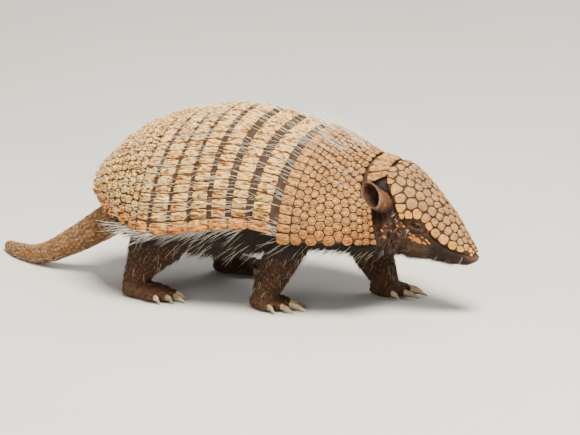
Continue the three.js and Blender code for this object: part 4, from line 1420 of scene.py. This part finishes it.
def fringe(count=FRINGE_HAIRS):
    """Long white hairs that hang back from under the carapace's edge."""
    build = Build()
    for side in (-1, 1):
        t, w = RNG.uniform(0.4, 0.82, count), np.full(count, side * 0.985)
        roots = shell_surface(t, w) - np.array([0, side * 2.2, 1.0])
        roots = roots - np.abs(RNG.normal(0, 1, (count, 1))) * [0, side, 1]
        way = unit(np.array([-0.85, side * 0.12, -0.5]) + RNG.normal(0, 0.12, (count, 3)))
        out = np.broadcast_to(unit(np.array([0.0, side, -0.35])), roots.shape)
        add_hairs(build, roots, out, way, RNG.uniform(14, 38, count), 0.2, 0.1, (-0.25, 0, 0.12),
                  shell_place(t, w))
    build.coat("fringe_hair", PALE_HAIR)


def fur(name, material, mask, count, way, length, radius, stand, bend, place=girth_place):
    """Hairs at random vertices of the skin within the mask. length may be worked out from their roots."""
    pool = np.flatnonzero(mask)
    chosen = RNG.choice(pool, min(count, len(pool)), replace=False)
    roots, build = skin_points[chosen], Build()
    add_hairs(build, roots, skin_normals[chosen], way, length(roots) if callable(length) else length, radius,
              stand, bend, place(roots))
    build.coat(name, material)


def leg_hair_length(roots):
    return np.interp(roots[:, 2], [4, 20, 45, 60], [2.6, 5, 9, 12])


def whisker_length(roots):
    return RNG.uniform(5, 13, len(roots))


carapace_hair()
fringe()
legs = [leg_mask(leg, 60) for leg in LEGS]
belly = (x > -165) & (x < 104) & (z < shell_edge(x) - 1) & ~np.any(legs, axis=0)
fur("belly_fur", DARK_HAIR, belly, 3600, (-0.9, 0, -0.35), 12, 0.17, 0.3, (0, 0, -0.25))
fur("belly_white_hair", PALE_HAIR, belly, 260, (-0.9, 0, -0.35), 20, 0.17, 0.35, (0, 0, -0.3))
for leg, mask in zip(LEGS, legs):
    fur(leg + "_fur", DARK_HAIR, mask & (z > 4), 1700, (-0.3, 0, -0.95), leg_hair_length, 0.14, 0.2,
        (-0.1, 0, -0.2), leg_place(leg))
    fur(leg + "_pale_hair", PALE_HAIR, mask & (z > 14), 70, (-0.3, 0, -0.95), 9, 0.13, 0.3, (-0.1, 0, -0.2),
        leg_place(leg))
neck = (x > 98) & (x < 134) & (z > 54) & (z < 112) & (np.abs(y) > 20)
jaw = (x > 108) & (x < 168) & (z < 62)
cheek = near(skin_points, np.array([122.5, 30, 76]), 7) > 0.3
lip = (x > 140) & (x < 176) & (z > 50) & (z < 60) & (np.abs(y) > 8)
tail = (x < -178) & (z > 2)
# Name, material, where, count, way, length, radius, stand, bend.
for row in (
    ("neck_fur", DARK_HAIR, neck, 2200, (-0.75, 0, -0.6), 6, 0.13, 0.16, (0, 0, -0.2)),
    ("neck_pale_hair", PALE_HAIR, neck, 150, (-0.75, 0, -0.6), 7, 0.1, 0.2, (0, 0, -0.2)),
    ("jaw_hair", DARK_HAIR, jaw, 1500, (-0.8, 0, -0.5), 6.5, 0.13, 0.25, (0, 0, -0.3)),
    ("cheek_bristles", PALE_HAIR, cheek, 30, (-0.25, 0, -1), 12, 0.13, 0.25, (0.1, 0, -0.1)),
    ("whiskers", PALE_HAIR, lip, 26, (-0.6, 0, -0.7), whisker_length, 0.08, 0.4, (-0.1, 0, -0.1)),
    ("tail_hair", PALE_HAIR, tail, 620, (-1, 0.25, -0.3), 6.5, 0.12, 0.25, (0, 0, -0.1)),
):
    fur(*row)


# ---------- eyes ----------

EYE_RINGS, EYE_SIDES = 28, 40
EYE_POLE, EYE_BULGE, EYE_PAINT = 0.02, 0.25, 1.35


def make_eye(name, side):
    """A ball with a slight bulge over the iris, and a paint value that grows away from the pupil."""
    out = unit(np.array([0.2, 0.95, 0.1]) * [1, side, 1])
    across = unit(np.cross(out, [0, 0, 1]))
    up = np.cross(across, out)
    a, b = pairs(np.linspace(EYE_POLE, math.pi - EYE_POLE, EYE_RINGS), turns(EYE_SIDES))
    radius = EYE_RADIUS + EYE_BULGE * bell(a, 0, 0.6)
    round_it = across * np.cos(b)[:, None] + up * np.sin(b)[:, None]
    way = out * np.cos(a)[:, None] + round_it * np.sin(a)[:, None]
    points = EYE * [1, side, 1] + way * radius[:, None]
    paint = np.stack([a / EYE_PAINT, a * 0, a * 0, a * 0 + 1], -1)
    cap = np.arange(EYE_SIDES)[None]
    blocks = (grid_faces(EYE_RINGS, EYE_SIDES, closed=True), cap[:, ::-1], cap + (EYE_RINGS - 1) * EYE_SIDES)
    build = Build()
    faces = outward(points, blocks, way[blocks[0][:, 0]])
    build.add(points, faces, paint, np.stack([b * 6, a * 2, a * 0], -1))
    placed(build.object(name + "_ball", EYE_MATERIAL), "eye", name)


make_eye("eye_right", -1)
make_eye("eye_left", 1)


# ---------- light and floor ----------

FLOOR_HALF = 20.0


def floor():
    n = Nodes("floor")
    cloud = n.noise(n.add("TexCoord", {}, 3), 3.0, 2.0)
    colour = n.mix(n.ramp(cloud, 0.3, 0.7), linear(206, 204, 198), linear(212, 210, 205))
    mesh = bpy.data.meshes.new("floor")
    corners = [(FLOOR_HALF * a, FLOOR_HALF * b, 0) for a, b in ((-1, -1), (1, -1), (1, 1), (-1, 1))]
    mesh.from_pydata(corners, [], [(0, 1, 2, 3)])
    mesh.materials.append(n.finish(colour, n.ramp(cloud, 0.3, 0.7, 0.85, 0.9)))
    linked("floor", mesh)


def area_light(name, azimuth, elevation, distance, size, power_w, colour):
    light = bpy.data.lights.new(name, "AREA")
    light.energy, light.size, light.color = power_w, size, colour
    aimed(linked(name, light), azimuth, elevation, distance)


floor()
# Name, azimuth and elevation in degrees, distance and size in metres, power in watts, colour.
area_light("key", 40, 68, 2.2, 0.9, 168, (1.0, 0.94, 0.82))
area_light("fill", -10, 28, 2.6, 1.6, 22, (1.0, 0.985, 0.96))
area_light("rim", 170, 45, 2.4, 1.2, 22, (1.0, 0.98, 0.95))
world = bpy.data.worlds.new("world")
world.use_nodes = True
world.node_tree.nodes["Background"].inputs[0].default_value = (0.9, 0.89, 0.87, 1)
world.node_tree.nodes["Background"].inputs[1].default_value = 0.38
bpy.context.scene.world = world
